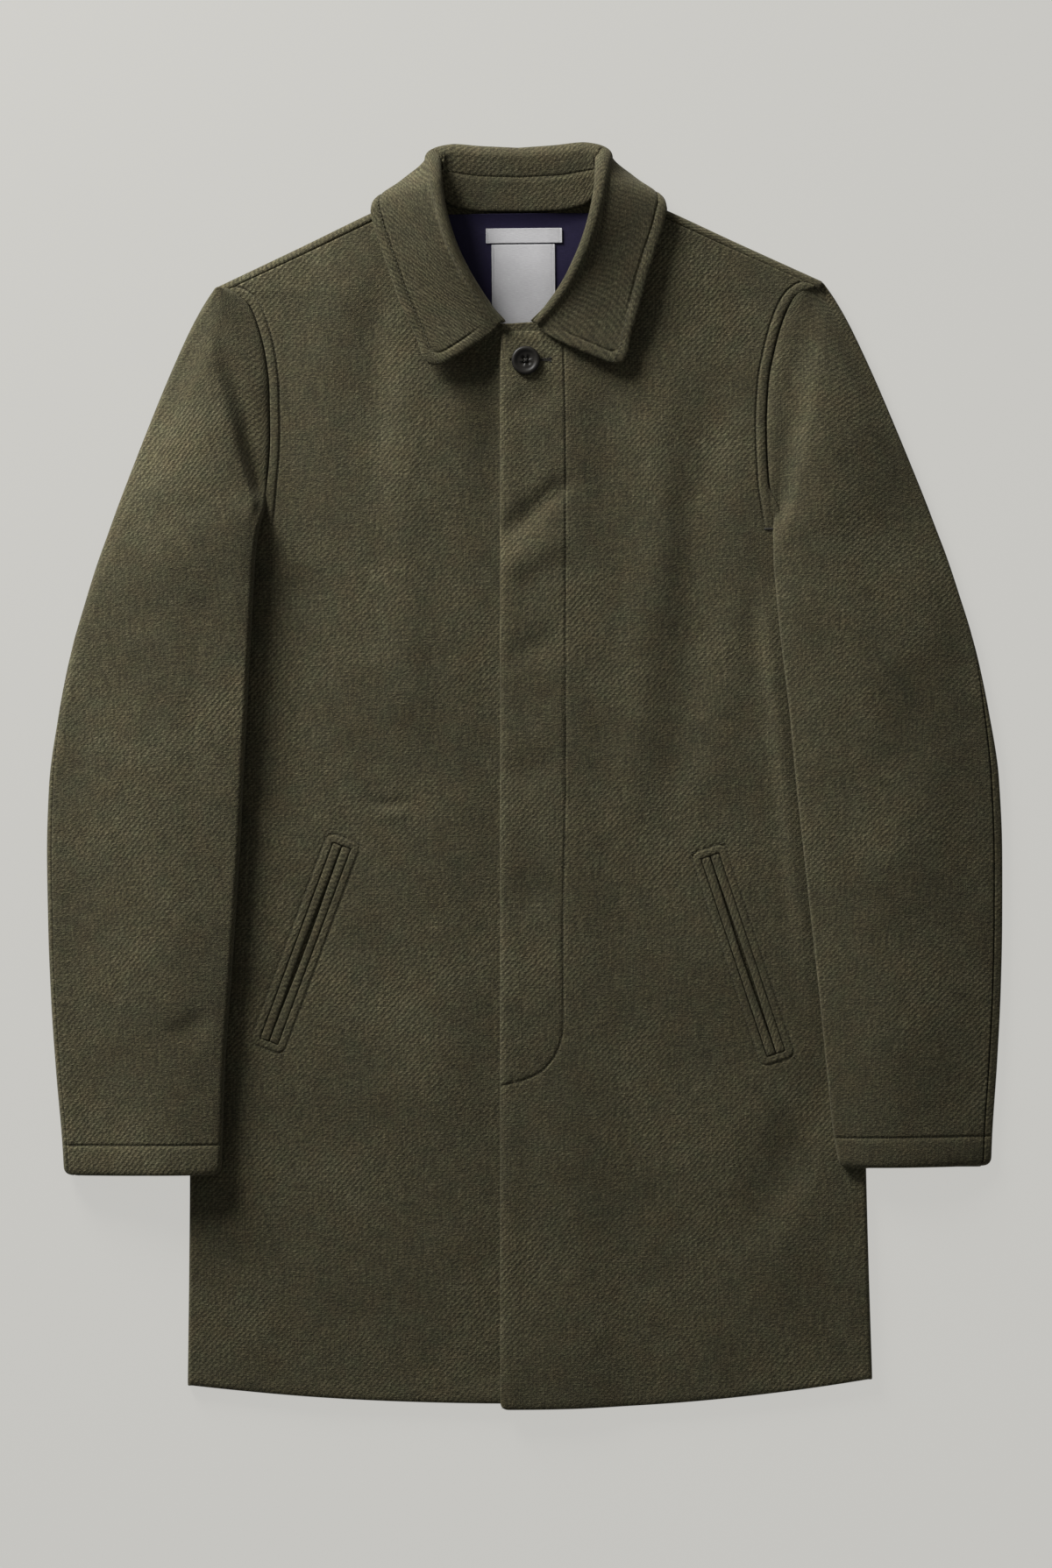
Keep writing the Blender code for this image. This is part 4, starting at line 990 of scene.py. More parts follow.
def wool_twill(name, depth, shade):
    """Heathered wool: diagonal wales broken up by fuzz, with brown and green fibres mixed in. Every colour is
    multiplied by shade, so a copy with shade below 1 is the same wool with painted shade.
    """
    material, shader = start_material(name, 0.95, 0.12, (0.62, 0.58, 0.42), 0.15)
    link, math_node, noise, ramp, mix, spread, bump = node_maker(material)
    vector = cloth_vector(material)
    split = material.node_tree.nodes.new("ShaderNodeSeparateXYZ")
    link(vector, split.inputs[0])
    across = math_node("MULTIPLY", split.outputs[0], -math.sin(WALE_LEAN))
    place = math_node("MULTIPLY_ADD", split.outputs[1], math.cos(WALE_LEAN), across)
    wander = noise(vector, 260.0, 2.0, 0.6)
    turns = math_node("MULTIPLY_ADD", place, 2.0 * math.pi / WALE, math_node("MULTIPLY", wander, 7.0))
    wale = spread(math_node("SINE", turns), 0.0, 1.0)
    wale.node.inputs["From Min"].default_value = -1.0
    fibres = noise(vector, 620.0, 2.0, 0.65, (0.55, 1.5, 1.0), -WALE_LEAN)
    fuzz = noise(vector, 1150.0, 3.0, 0.7)
    patch = noise(vector, 34.0, 3.0, 0.55)
    clear = spread(noise(vector, 9.0, 2.0, 0.5), -0.35, 1.15)
    clear_wale = math_node("MULTIPLY", wale, math_node("MAXIMUM", clear, 0.25))
    relief = math_node("MULTIPLY_ADD", fibres, 0.95, math_node("MULTIPLY", clear_wale, 0.50))
    relief = math_node("MULTIPLY_ADD", fuzz, 0.85, relief)
    yarns = noise(vector, 300.0, 2.0, 0.6, (3.0, 0.16, 1.0))
    picks = noise(vector, 300.0, 2.0, 0.6, (0.16, 3.0, 1.0))
    streaks = math_node("MULTIPLY_ADD", math_node("ADD", yarns, picks), 0.55, -0.55)
    tone = math_node("MULTIPLY_ADD", math_node("ADD", relief, streaks), 1.5, -1.18)
    heather = ramp(
        tone,
        [
            (0.05, (0.024 * shade, 0.0215 * shade, 0.0125 * shade)),
            (0.38, (0.052 * shade, 0.047 * shade, 0.0265 * shade)),
            (0.62, (0.076 * shade, 0.069 * shade, 0.040 * shade)),
            (0.95, (0.135 * shade, 0.122 * shade, 0.074 * shade)),
        ],
    )
    brown = mix(spread(patch, -0.9, 1.5), heather, (1.07, 0.97, 0.90), "MULTIPLY")
    green = mix(spread(noise(vector, 70.0, 3.0, 0.6), -1.0, 1.5), brown, (0.92, 1.03, 0.98), "MULTIPLY")
    link(green, shader.inputs["Base Color"])
    link(spread(fuzz, 0.86, 1.0), shader.inputs["Roughness"])
    link(bump(relief, depth), shader.inputs["Normal"])
    return material


def lining_satin():
    """Dark navy lining with a fine plain weave and a soft sheen."""
    material, shader = start_material("lining_satin", 0.6, 0.03, (0.40, 0.38, 0.80), 0.16)
    link, math_node, noise, ramp, mix, spread, bump = node_maker(material)
    vector = cloth_vector(material)
    weft = noise(vector, 900.0, 2.0, 0.6, (0.25, 2.2, 1.0))
    warp = noise(vector, 900.0, 2.0, 0.6, (2.2, 0.25, 1.0))
    weave = math_node("MULTIPLY_ADD", weft, 0.6, math_node("MULTIPLY", warp, 0.4))
    colour = ramp(weave, [(0.30, (0.0040, 0.0028, 0.0135)), (0.70, (0.0085, 0.0062, 0.0260))])
    link(colour, shader.inputs["Base Color"])
    link(spread(weave, 0.45, 0.70), shader.inputs["Roughness"])
    link(bump(weave, 0.00012), shader.inputs["Normal"])
    return material


def label_satin():
    """Pale grey woven label, bare, with the ribs of its weave."""
    material, shader = start_material("label_satin", 0.6, 0.1, (1.0, 1.0, 1.0), 0.4)
    link, math_node, noise, ramp, mix, spread, bump = node_maker(material)
    vector = cloth_vector(material)
    ribs = noise(vector, 1500.0, 1.0, 0.5, (0.2, 1.8, 1.0))
    soil = noise(vector, 60.0, 3.0, 0.5)
    weave = math_node("MULTIPLY_ADD", soil, 0.35, math_node("MULTIPLY", ribs, 0.65))
    colour = ramp(weave, [(0.25, (0.275, 0.275, 0.287)), (0.75, (0.36, 0.36, 0.372))])
    link(colour, shader.inputs["Base Color"])
    link(spread(weave, 0.50, 0.72), shader.inputs["Roughness"])
    link(bump(ribs, 0.00010), shader.inputs["Normal"])
    return material


def object_vector(material):
    node = material.node_tree.nodes.new("ShaderNodeTexCoord")
    return node.outputs["Object"]


def dark_horn():
    """Dark resin made to look like horn: satin, with faint paler streaks and fine scratches."""
    material, shader = start_material("dark_horn", 0.42, 0.0, (1.0, 1.0, 1.0), 0.16)
    link, math_node, noise, ramp, mix, spread, bump = node_maker(material)
    vector = object_vector(material)
    streak = noise(vector, 160.0, 4.0, 0.6, (0.35, 1.6, 1.0), 0.6)
    scratch = noise(vector, 2400.0, 2.0, 0.6, (0.15, 1.5, 1.0), 1.1)
    colour = ramp(streak, [(0.30, (0.0055, 0.0050, 0.0043)), (0.72, (0.0135, 0.0122, 0.0100))])
    link(colour, shader.inputs["Base Color"])
    link(spread(scratch, 0.34, 0.56), shader.inputs["Roughness"])
    link(bump(scratch, 0.00004), shader.inputs["Normal"])
    return material


def thread(name, low, high):
    """Twisted sewing thread."""
    material, shader = start_material(name, 0.7, 0.1, (0.7, 0.7, 0.6), 0.3)
    link, math_node, noise, ramp, mix, spread, bump = node_maker(material)
    vector = object_vector(material)
    twist = noise(vector, 2600.0, 2.0, 0.6, (1.0, 0.4, 1.0), 0.8)
    link(ramp(twist, [(0.30, low), (0.70, high)]), shader.inputs["Base Color"])
    link(spread(twist, 0.60, 0.85), shader.inputs["Roughness"])
    link(bump(twist, 0.00006), shader.inputs["Normal"])
    return material


WOOL = wool_twill("wool_twill", 0.00078, 1.0)
# The collar's copy of the same wool has a finer bump for its pressed cloth, and every colour multiplied by
# 0.86, which is painted shade
COLLAR_WOOL_SHADED = wool_twill("wool_twill_pressed_shaded", 0.00050, 0.86)
LINING = lining_satin()
LABEL = label_satin()
HORN = dark_horn()
TONAL_THREAD = thread("tonal_thread", (0.026, 0.024, 0.014), (0.060, 0.055, 0.032))
DARK_THREAD = thread("dark_thread", (0.008, 0.0072, 0.0060), (0.020, 0.0180, 0.0150))
PALE_THREAD = thread("pale_thread", (0.30, 0.30, 0.31), (0.46, 0.46, 0.47))


# Pieces

def add_piece(name, mesh, material, slot, *nodes):
    """A piece of the coat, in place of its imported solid."""
    piece = bpy.data.objects.new(name, mesh)
    piece.data.materials.append(material)
    bpy.context.scene.collection.objects.link(piece)
    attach(piece, "root")
    if nodes:
        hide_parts(*nodes)
    return piece


def cloth_piece(node, grid, thickness, material, slot, marks, seed, normals=None):
    """A panel as a closed shell; its width, length and area are worked out, but nothing uses them."""
    marks = marks.copy()
    marks[..., 2] = seed
    mesh = shell_mesh(f"{node}_cloth", grid, thickness, marks, normals)
    piece = add_piece(f"{node}_cloth", mesh, material, slot, node)
    width = float(row_lengths(grid)[:, -1].max())
    length = float(row_lengths(grid.transpose(1, 0, 2))[:, -1].max())
    area = grid_area(grid)
    return piece


def graded(total, step=CLOTH_STEP, end=True):
    """Distances from 0 to a length: even steps, and finer ones beside the ends."""
    fine = EDGE_STEPS * min(1.0, 0.3 * total / EDGE_STEPS[-1])
    high = total - fine[::-1] if end else np.array([total])
    middle = np.linspace(fine[-1], high[0], max(2, int((high[0] - fine[-1]) / step)) + 1)
    return np.concatenate([fine, middle[1:-1], high])


def front_grid(side):
    """A front's outer face, in rows from the hem to the shoulder seam, each from the fly edge outwards."""
    over = side == "left"
    sign = SIDES[side]
    ends = []
    for step in range(HEM_ROWS):
        share = step / HEM_ROWS
        y = HEM_SIDE_Y + (UNDERARM_Y - HEM_SIDE_Y) * share
        edge_x = fly_x(y) if over else UNDER_EDGE
        ends.append((edge_x, y, float(side_at(y)), y, math.pi, (1.0 - share) ** 2))
    for row in YOKE:
        inner_x, inner_y = (row.over_x, row.over_y) if over else (row.under_x, row.under_y)
        if inner_x is None:
            inner_x = fly_x(inner_y) if over else UNDER_EDGE
        arm_x = row.arm_left if over else row.arm_right
        arm_x += UNDER_SLEEVE * float(ease((UNDER_SLEEVE_Y - row.arm_y) / UNDER_SLEEVE_RUN))
        ends.append((inner_x, inner_y, arm_x, row.arm_y, row.turn * math.pi, 0.0))
    ends = np.array(ends)
    keys = np.arange(len(ends))
    middle_y = (ends[:, 1] + ends[:, 3]) / 2.0
    reach = graded(middle_y[-1] - middle_y[0])
    at = np.interp(reach + middle_y[0], middle_y, keys)
    columns = [smooth_table(keys, values)(at)[:, None] for values in ends.T]
    inner_x, inner_y, side_x, side_y, turn, sag = columns
    length = math.pi * SIDE_FOLD
    bent = np.maximum(turn, 1e-6)
    fold_reach = np.where(turn > 1e-6, length / bent * np.sin(np.minimum(bent, math.pi / 2.0)), length)
    run_x = side_x - inner_x
    run_y = side_y - inner_y
    run = np.hypot(run_x, run_y)
    run_x = run_x / run
    run_y = run_y / run
    flat = run - fold_reach
    shares = graded(float(flat.max()), end=False) / float(flat.max())
    x = inner_x + run_x * flat * shares
    y = inner_y + run_y * flat * shares
    y = y + sag * (hem_y(x, FRONT_DROP[side]) - HEM_SIDE_Y)
    z = front_height(side, sign * x, y)
    angle = bent * np.linspace(0.0, 1.0, FOLD_POINTS)[1:]
    radius = length / bent
    fold_x = x[:, -1:] + run_x * radius * np.sin(angle)
    fold_y = y[:, -1:] + run_y * radius * np.sin(angle)
    folded = ease(turn / (0.3 * math.pi))
    on_front = front_height(side, sign * fold_x, fold_y)
    fold_z = on_front * (1.0 - folded) + z[:, -1:] * folded - radius * (1.0 - np.cos(angle))
    fold_z = np.maximum(fold_z, 0.0)
    x = np.concatenate([x, fold_x], axis=1)
    y = np.concatenate([y, fold_y], axis=1)
    z = np.concatenate([z, fold_z], axis=1)
    grid = np.stack([sign * x, y, z], axis=-1)
    return grid if over else grid[:, ::-1].copy()


def sewn_near(side):
    """A test of points in plan for being beside a sewn line of a front."""
    arm = armhole_line(side)

    def near(x, y):
        from_arm, _, _ = near_path(arm, x, y)
        found = (abs(from_arm - ARMHOLE_STITCH) < SEWN_BAND) & (y > ARMHOLE_STITCH_FOOT - SEWN_END)
        edge = pocket_edge(side, x, y)
        found |= (edge > -SEWN_BAND) & (edge < POCKET_FRAME + SEWN_BAND)
        if side == "left":
            from_stitch, _, _ = near_path(smooth_path(FLY_STITCH), x, y)
            found |= from_stitch < SEWN_BAND
            found |= (abs(y - BUTTONHOLE_END[1]) < SEWN_BAND) & (abs(x - BUTTON_CENTRE[0]) < SLIT_BAND)
        return found

    return near


def front_marks(grid):
    """The weave's place on a front: as in plan, and along the cloth where its side turns down."""
    marks = grid * np.array([1.0, 1.0, 0.0])
    steep = row_lengths(grid) - row_lengths(marks)
    middle = grid.shape[1] // 2
    marks[..., 0] += steep - steep[:, middle : middle + 1]
    return marks


def fronts():
    """Both fronts, thicker below the pockets, with finer squares beside their sewn lines."""
    for side in SIDES:
        over = side == "left"
        grid = front_grid(side)
        marks = front_marks(grid)
        grid = round_corner(inset(grid), False, not over, HEM_CORNER)
        edge = pocket_edge(side, grid[..., 0], grid[..., 1])
        thickness = CLOTH + POCKET_BACKING * (1.0 - ease((edge - POCKET_BACKING_START) / POCKET_BACKING_RUN))
        piece = cloth_piece(f"front_{side}", grid, thickness, WOOL, "wool_twill", marks, 1.0 + over)
        outer_count = grid.shape[0] * grid.shape[1]
        refine(piece.data, outer_count, sewn_near(side), lambda x, y: front_height(side, x, y))


def shoulder_y(x):
    """The fold of the shoulder, or the back neck seam, above a place across the back."""
    shoulder = SHOULDER_TIP[1] + (SHOULDER_TIP[0] - np.maximum(abs(x), NECK_HALF)) * SHOULDER_SLOPE
    dip = 1.0 - (np.minimum(abs(x), NECK_HALF) / NECK_HALF) ** 3
    return shoulder + (NECK_BACK_Y - shoulder) * dip


def back_grid():
    """The back's outer face, which lies on the surface, from its hem over the fold of the shoulders."""
    shares = np.linspace(-1.0, 1.0, BACK_COLUMNS)
    x_top = shares * SHOULDER_TIP[0]
    on_shoulder = ease((abs(x_top) - NECK_HALF) / NECK_BLEND)
    slope = math.hypot(1.0, SHOULDER_SLOPE)
    lean_x = np.copysign(SHOULDER_SLOPE, x_top) * on_shoulder / slope
    lean_y = np.ones_like(x_top) / slope
    turn = math.pi * (NECK_TURN + (1.0 - NECK_TURN) * on_shoulder)
    radius = math.pi * SHOULDER_FOLD / turn
    start = radius * np.sin(np.minimum(turn, math.pi / 2.0))
    start_x = x_top - lean_x * start
    start_y = shoulder_y(x_top) - lean_y * start
    rows = []
    hem_rows = graded(UNDERARM_Y - HEM_SIDE_Y, BACK_STEP, end=False) / (UNDERARM_Y - HEM_SIDE_Y)
    for share in hem_rows[:-1]:
        y = HEM_SIDE_Y + (UNDERARM_Y - HEM_SIDE_Y) * share
        x = shares * (side_at(y) - SIDE_FOLD - SIDE_GAP)
        sag = (1.0 - share) ** 2
        rows.append(np.stack([x, y + sag * (hem_y(x, BACK_DROP) - HEM_SIDE_Y), 0.0 * x], axis=-1))
    keys = np.arange(len(YOKE) - 1)
    names = ("arm_y", "arm_left", "arm_right", "turn")
    ends = [smooth_table(keys, column(YOKE[:-1], name)) for name in names]
    for key in np.linspace(0.0, keys[-1], BACK_ROWS)[:-1]:
        arm_y, arm_left, arm_right, bend = (float(at(key)) for at in ends)
        half = np.where(shares > 0.0, arm_left, arm_right) - UNDERARM_INSET * ease(bend / YOKE[1].turn)
        level = arm_y + ease(key / (len(YOKE) - 1)) * (start_y - start_y[-1])
        x = shares * half
        rows.append(np.stack([x, level, ground(x, level)], axis=-1))
    for angle in np.linspace(0.0, 1.0, FOLD_POINTS + 1)[:, None] * turn:
        x = start_x + lean_x * radius * np.sin(angle)
        y = start_y + lean_y * radius * np.sin(angle)
        z = ground(start_x, start_y) + radius * (1.0 - np.cos(angle))
        rows.append(np.stack([x, y, z], axis=-1))
    for step in SHOULDER_END:
        past = on_shoulder * step.reach
        rows.append(np.stack([x - lean_x * past, y - lean_y * past, z - step.drop * on_shoulder], axis=-1))
    return np.array(rows)[:, ::-1].copy()


def back():
    grid = inset(back_grid())
    cloth_piece("back", grid, CLOTH, WOOL, "wool_twill", cloth_marks(grid), 3.0)


def sleeve_support(x, y, spread, foot, run):
    """The height that a sleeve lies on: the body where it covers it, and the surface beside it."""
    edge = side_at(y)
    body = front_form(np.minimum(x, edge - SIDE_FOLD), y) + REST_GAP
    beside = 1.0 - ease((x - edge - SIDE_CLEAR) / spread)
    below = 1.0 - ease((y - foot) / run)
    return body * beside * below


def sleeve_top(side, x, y, inner, outer, inner_height, broad):
    """The height of the sleeve's upper half, from its inner fold or armhole seam to its outer fold."""
    share = np.clip((x - inner) / (outer - inner), 0.0, 1.0)
    passed = ease(share * 1.15)
    bulge = np.sin(math.pi * share) ** 0.8
    edges = inner_height + (2.0 * SLEEVE_FOLD[side] - inner_height) * passed
    loft = (SLEEVE_LOFT[side] - 2.0 * SLEEVE_FOLD[side]) * bulge * broad
    run = SLEEVE_TOP_RUN[side]
    at_inner = sleeve_support(inner, y, SLEEVE_TOP_SPREAD, SLEEVE_TOP_FOOT_Y, run)
    below = sleeve_support(x, y, SLEEVE_TOP_SPREAD, SLEEVE_TOP_FOOT_Y, run) - at_inner * (1.0 - passed)
    cap = SLEEVE_CAP_LOFT[side] * ease((y - UNDERARM_Y) / SLEEVE_CAP_RUN) * bulge * broad
    return edges + loft + np.maximum(below, 0.0) + cap


def cap_crest(side, x, y):
    """What the fold up the sleeve's cap adds, at places across it, with the hollow beside it."""
    rows = CAP_CREST[side]
    found = {name: curve(rows, "y", name)(y) for name in rows[0]._fields[1:]}
    past = x - found["place"]
    flank = found["flank"]
    crest = np.exp(-((past / np.where(past > 0.0, found["spread"], flank)) ** 2))
    past_hollow = past + 1.5 * flank
    hollow = np.exp(-((past_hollow / np.where(past_hollow > 0.0, found["rise"], flank)) ** 2))
    return found["height"] * crest - found["hollow"] * hollow


def cuff_relief(y):
    """The hem sewn round a cuff, and its rolled edge."""
    up = y - SLEEVE[0].y
    rolled = edge_roll(up, CUFF_ROLL_WIDTH, CUFF_ROLL)
    return puff(up, CUFF_STITCH, CUFF_PUFF) + groove(up - CUFF_STITCH) + rolled


def sleeve_levels():
    """The rows of a sleeve: even ones, finer at the cuff's edge, at its sewn line and at the head."""
    reach = graded(SLEEVE[-1].y - SLEEVE[0].y, CLOTH_STEP)
    sewn = CUFF_STITCH + CUFF_STEPS
    head = SLEEVE[-1].y - SLEEVE[0].y - np.linspace(0.0, SLEEVE_HEAD, 12)
    return np.unique(np.round(np.concatenate([reach, sewn, head]), 5)) + SLEEVE[0].y


def sleeve_grids(side):
    """The outer faces of a sleeve's top half and under half, in rows from the cuff to the head."""
    sign = SIDES[side]
    fold = SLEEVE_FOLD[side]
    fold_reach = SLEEVE_FOLD_REACH[side]
    quarter = fold * math.pi / 2.0
    fold_shares = np.linspace(1.0, 0.0, FOLD_POINTS)[:-1]
    flat_shares = np.linspace(0.0, 1.0, 45)
    top_rows, under_rows = [], []
    for y in sleeve_levels():
        inner = float(inner_at[side](y))
        outer = float(outer_at(y))
        hind = max(float(hind_at(y)), 3.0 * SEAM_INSET - quarter)
        below = max(CUFF_CORNER - (y - SLEEVE[0].y), 0.0)
        corner = CUFF_CORNER - math.sqrt(CUFF_CORNER**2 - below**2)
        inner += corner
        outer -= corner
        folded = float(ease((SLEEVE_CAP_Y[side] - y) / SLEEVE_FOLD_RUN))
        seam_x = inner + fold_reach * folded
        rest = float(front_form(sign * inner, y)) + REST_GAP * folded
        inner_height = rest + fold * (1.0 - math.cos(math.pi * folded))
        narrow = min(1.0, (outer - inner) / SLEEVE_NARROW)
        broad = float(ease((outer - inner) / SLEEVE_BROAD))
        hinge_x = outer - fold * narrow

        def upper(x):
            height = sleeve_top(side, x, y, seam_x, hinge_x, inner_height, broad)
            fade = ease((hinge_x - x) / SLEEVE_CREASE_END) * ease((x - seam_x) / SLEEVE_EDGE)
            creased = crease_height(f"sleeve_{side}", sign * x, np.full(np.shape(x), y))
            creased += cap_crest(side, x, y) * (1.0 + math.cos(math.pi * folded)) / 2.0
            from_seam = (1.0 - folded) * edge_roll(x - seam_x, SLEEVE_SEAM_WIDTH, SLEEVE_SEAM_ROLL)
            return height + creased * fade + cuff_relief(y) + from_seam

        def over_edge(reach):
            """Points this far over the outer fold, along the cloth from its outermost line."""
            flat_x = hinge_x - (reach - quarter) * narrow
            angle = np.minimum(reach, quarter) / fold
            round_x = hinge_x + fold * narrow * np.cos(angle)
            lift = cuff_relief(y) * np.clip(np.sin(angle), 0.0, 1.0)
            round_z = fold * (1.0 + np.sin(angle)) + lift
            on_flat = reach > quarter
            return np.where(on_flat, flat_x, round_x), np.where(on_flat, upper(flat_x), round_z)

        start_x = seam_x + ARMHOLE_STEP * narrow * (1.0 - folded)
        angle = math.pi * fold_shares
        fold_x = seam_x - fold_reach * np.sin(angle)
        fold_z = inner_height - fold * (1.0 - np.cos(angle)) + cuff_relief(y) * (1.0 - fold_shares)
        tuck_x = start_x - TUCK_REACH * fold_shares**1.5
        tuck_z = upper(np.array([start_x])) - TUCK_DROP * np.sin(0.5 * math.pi * fold_shares) ** 0.8
        fold_x = fold_x * folded + tuck_x * (1.0 - folded)
        fold_z = fold_z * folded + tuck_z * (1.0 - folded)
        flat_x = start_x + (hinge_x - SLEEVE_EDGE * narrow - start_x) * flat_shares
        edge_x, edge_z = over_edge(np.linspace(quarter + SLEEVE_EDGE, hind + SEAM_INSET, 16)[1:])
        x = np.concatenate([fold_x, flat_x, edge_x])
        z = np.concatenate([fold_z, upper(flat_x), edge_z])
        top_rows.append(np.stack([sign * x, np.full(len(x), y), z], axis=-1))

        passing = float(underarm_at(y)) if UNDERARM[0].y < y < UNDER_HEAD_Y else 0.0
        stop = max(seam_x + SIDE_GAP, passing) if y < UNDER_HEAD_Y else inner + SIDE_GAP
        stop = min(stop, hinge_x - SEAM_INSET)
        under_x = hinge_x + (stop - hinge_x) * np.linspace(0.0, 1.0, 40)[1:]
        under_z = sleeve_support(under_x, y, SLEEVE_UNDER_SPREAD, UNDERARM_Y, FOLD_RUN)
        edge_x, edge_z = over_edge(np.linspace(hind - SEAM_INSET, -quarter, 14))
        x = np.concatenate([edge_x, under_x])
        z = np.concatenate([edge_z, under_z])
        under_rows.append(np.stack([sign * x, np.full(len(x), y), z], axis=-1))
    return np.array(top_rows), np.array(under_rows)


def sleeves():
    """Both sleeves in two halves each, and the stitches of their cuffs."""
    for side, sign in SIDES.items():
        for half, grid in zip(("top", "under"), sleeve_grids(side)):
            grid = grid if sign > 0.0 else grid[:, ::-1].copy()
            marks = cloth_marks(grid, SLEEVE_GRAIN * sign)
            grid = inset(grid, *SLEEVE_INSET)
            seed = 4.0 + (sign > 0.0) + 2.0 * (half == "under")
            cloth_piece(f"sleeve_{half}_{side}", grid, CLOTH, WOOL, "wool_twill", marks, seed)
            if half == "top":
                up = grid[:, grid.shape[1] // 2, 1] - SLEEVE[0].y
                path = grid[int(np.argmin(abs(up - CUFF_STITCH)))] + ON_CLOTH
                start, end = CUFF_STITCH_ENDS if sign > 0.0 else CUFF_STITCH_ENDS[::-1]
                stitches(f"cuff_stitches_{side}", path[start:-end], TONAL_THREAD, "wool_twill")


def collar_lines():
    """The collar's outer face in lines from the neck seam to its edge, from the point on -X round to +X."""
    keys = np.arange(len(COLLAR))
    paths = {}
    for name in COLLAR[0]._fields:
        values = np.array([np.atleast_1d(getattr(row, name)) for row in COLLAR], float)
        paths[name] = [smooth_table(keys, values[:, i]) for i in range(values.shape[1])]

    def place(name, t):
        return np.array([float(path(t)) for path in paths[name]])

    stand_shares = np.linspace(0.0, STAND_SHARE, 12)
    neck_shares = np.linspace(STAND_SHARE, 1.0, 9)[1:-1]
    roll_angles = np.linspace(0.0, math.pi, FOLD_POINTS)
    even = np.linspace(0.0, POINT_START, 118)[:-1]
    stations = np.concatenate([even, np.linspace(POINT_START, keys[-1], 40)])
    half = []
    for t in stations:
        neck, roll, middle = (place(name, t) for name in ("neck", "roll", "middle"))
        edge_x, edge_y = place("edge", t)
        over = place("over", t)[0]
        radius = place("fold", t)[0]
        on_front = float(front_form(edge_x, edge_y) + lap(edge_x)) + COLLAR_CLOTH + COLLAR_SPRING
        edge = np.array((edge_x, edge_y, over * on_front))
        along = place("roll", min(t + NEAR_BY, keys[-1])) - place("roll", max(t - NEAR_BY, 0.0))
        along = np.array((1.0, 0.0, 0.0)) if t < NEAR_BY else along / np.linalg.norm(along)
        up = (roll - neck) / np.linalg.norm(roll - neck)
        out = np.cross(along, up)
        out /= np.linalg.norm(out)
        base = roll - up * radius
        head = base + out * radius
        line = [neck + (head - neck) * share for share in stand_shares]
        line += [neck + (head - neck) * share for share in neck_shares]
        line += [base + out * radius * math.cos(a) + up * radius * math.sin(a) for a in roll_angles]
        first = line[-1]
        bow = middle - (first + edge) / 2.0
        near_edge = 1.0 - COLLAR_NEAR_EDGE / np.linalg.norm(edge - first)
        fall_shares = np.concatenate([np.linspace(0.0, near_edge[0], 20)[1:], near_edge[1:]])
        line += [first + (edge - first) * s + bow * 4.0 * s * (1.0 - s) for s in fall_shares]
        line = np.array(line)
        line[:, 2] = np.maximum(line[:, 2], 0.0)
        half.append(line)
    half = np.array(half)
    mirrored = half[:0:-1] * np.array((-1.0, 1.0, 1.0))
    over = paths["over"][0](np.concatenate([stations[:0:-1], stations]))
    lines = np.concatenate([mirrored, half])
    outward = ease((lines[..., 0] - OVER_SHIFT_X) / OVER_SHIFT_SPREAD)
    over_shift = OVER_SHIFT_INNER + (OVER_SHIFT_OUTER - OVER_SHIFT_INNER) * outward
    shift = np.where(lines[..., 0] > 0.0, over_shift, COLLAR_SHIFT)
    lines[..., 0] += shift * ease((COLLAR_SHIFT_Y - lines[..., 1]) / COLLAR_SHIFT_RUN)
    return lines, len(stand_shares), over


def collar_stitch_line(fall):
    """The path a set distance in from the collar's edge, from one point round to the other."""
    path = []
    from_edge = COLLAR_STITCH - COLLAR_EDGE_INSET
    for points, reach in zip(fall, row_lengths(fall)):
        path.append([np.interp(from_edge, reach, points[:, axis]) for axis in range(3)])
    return np.array(path) + ON_CLOTH


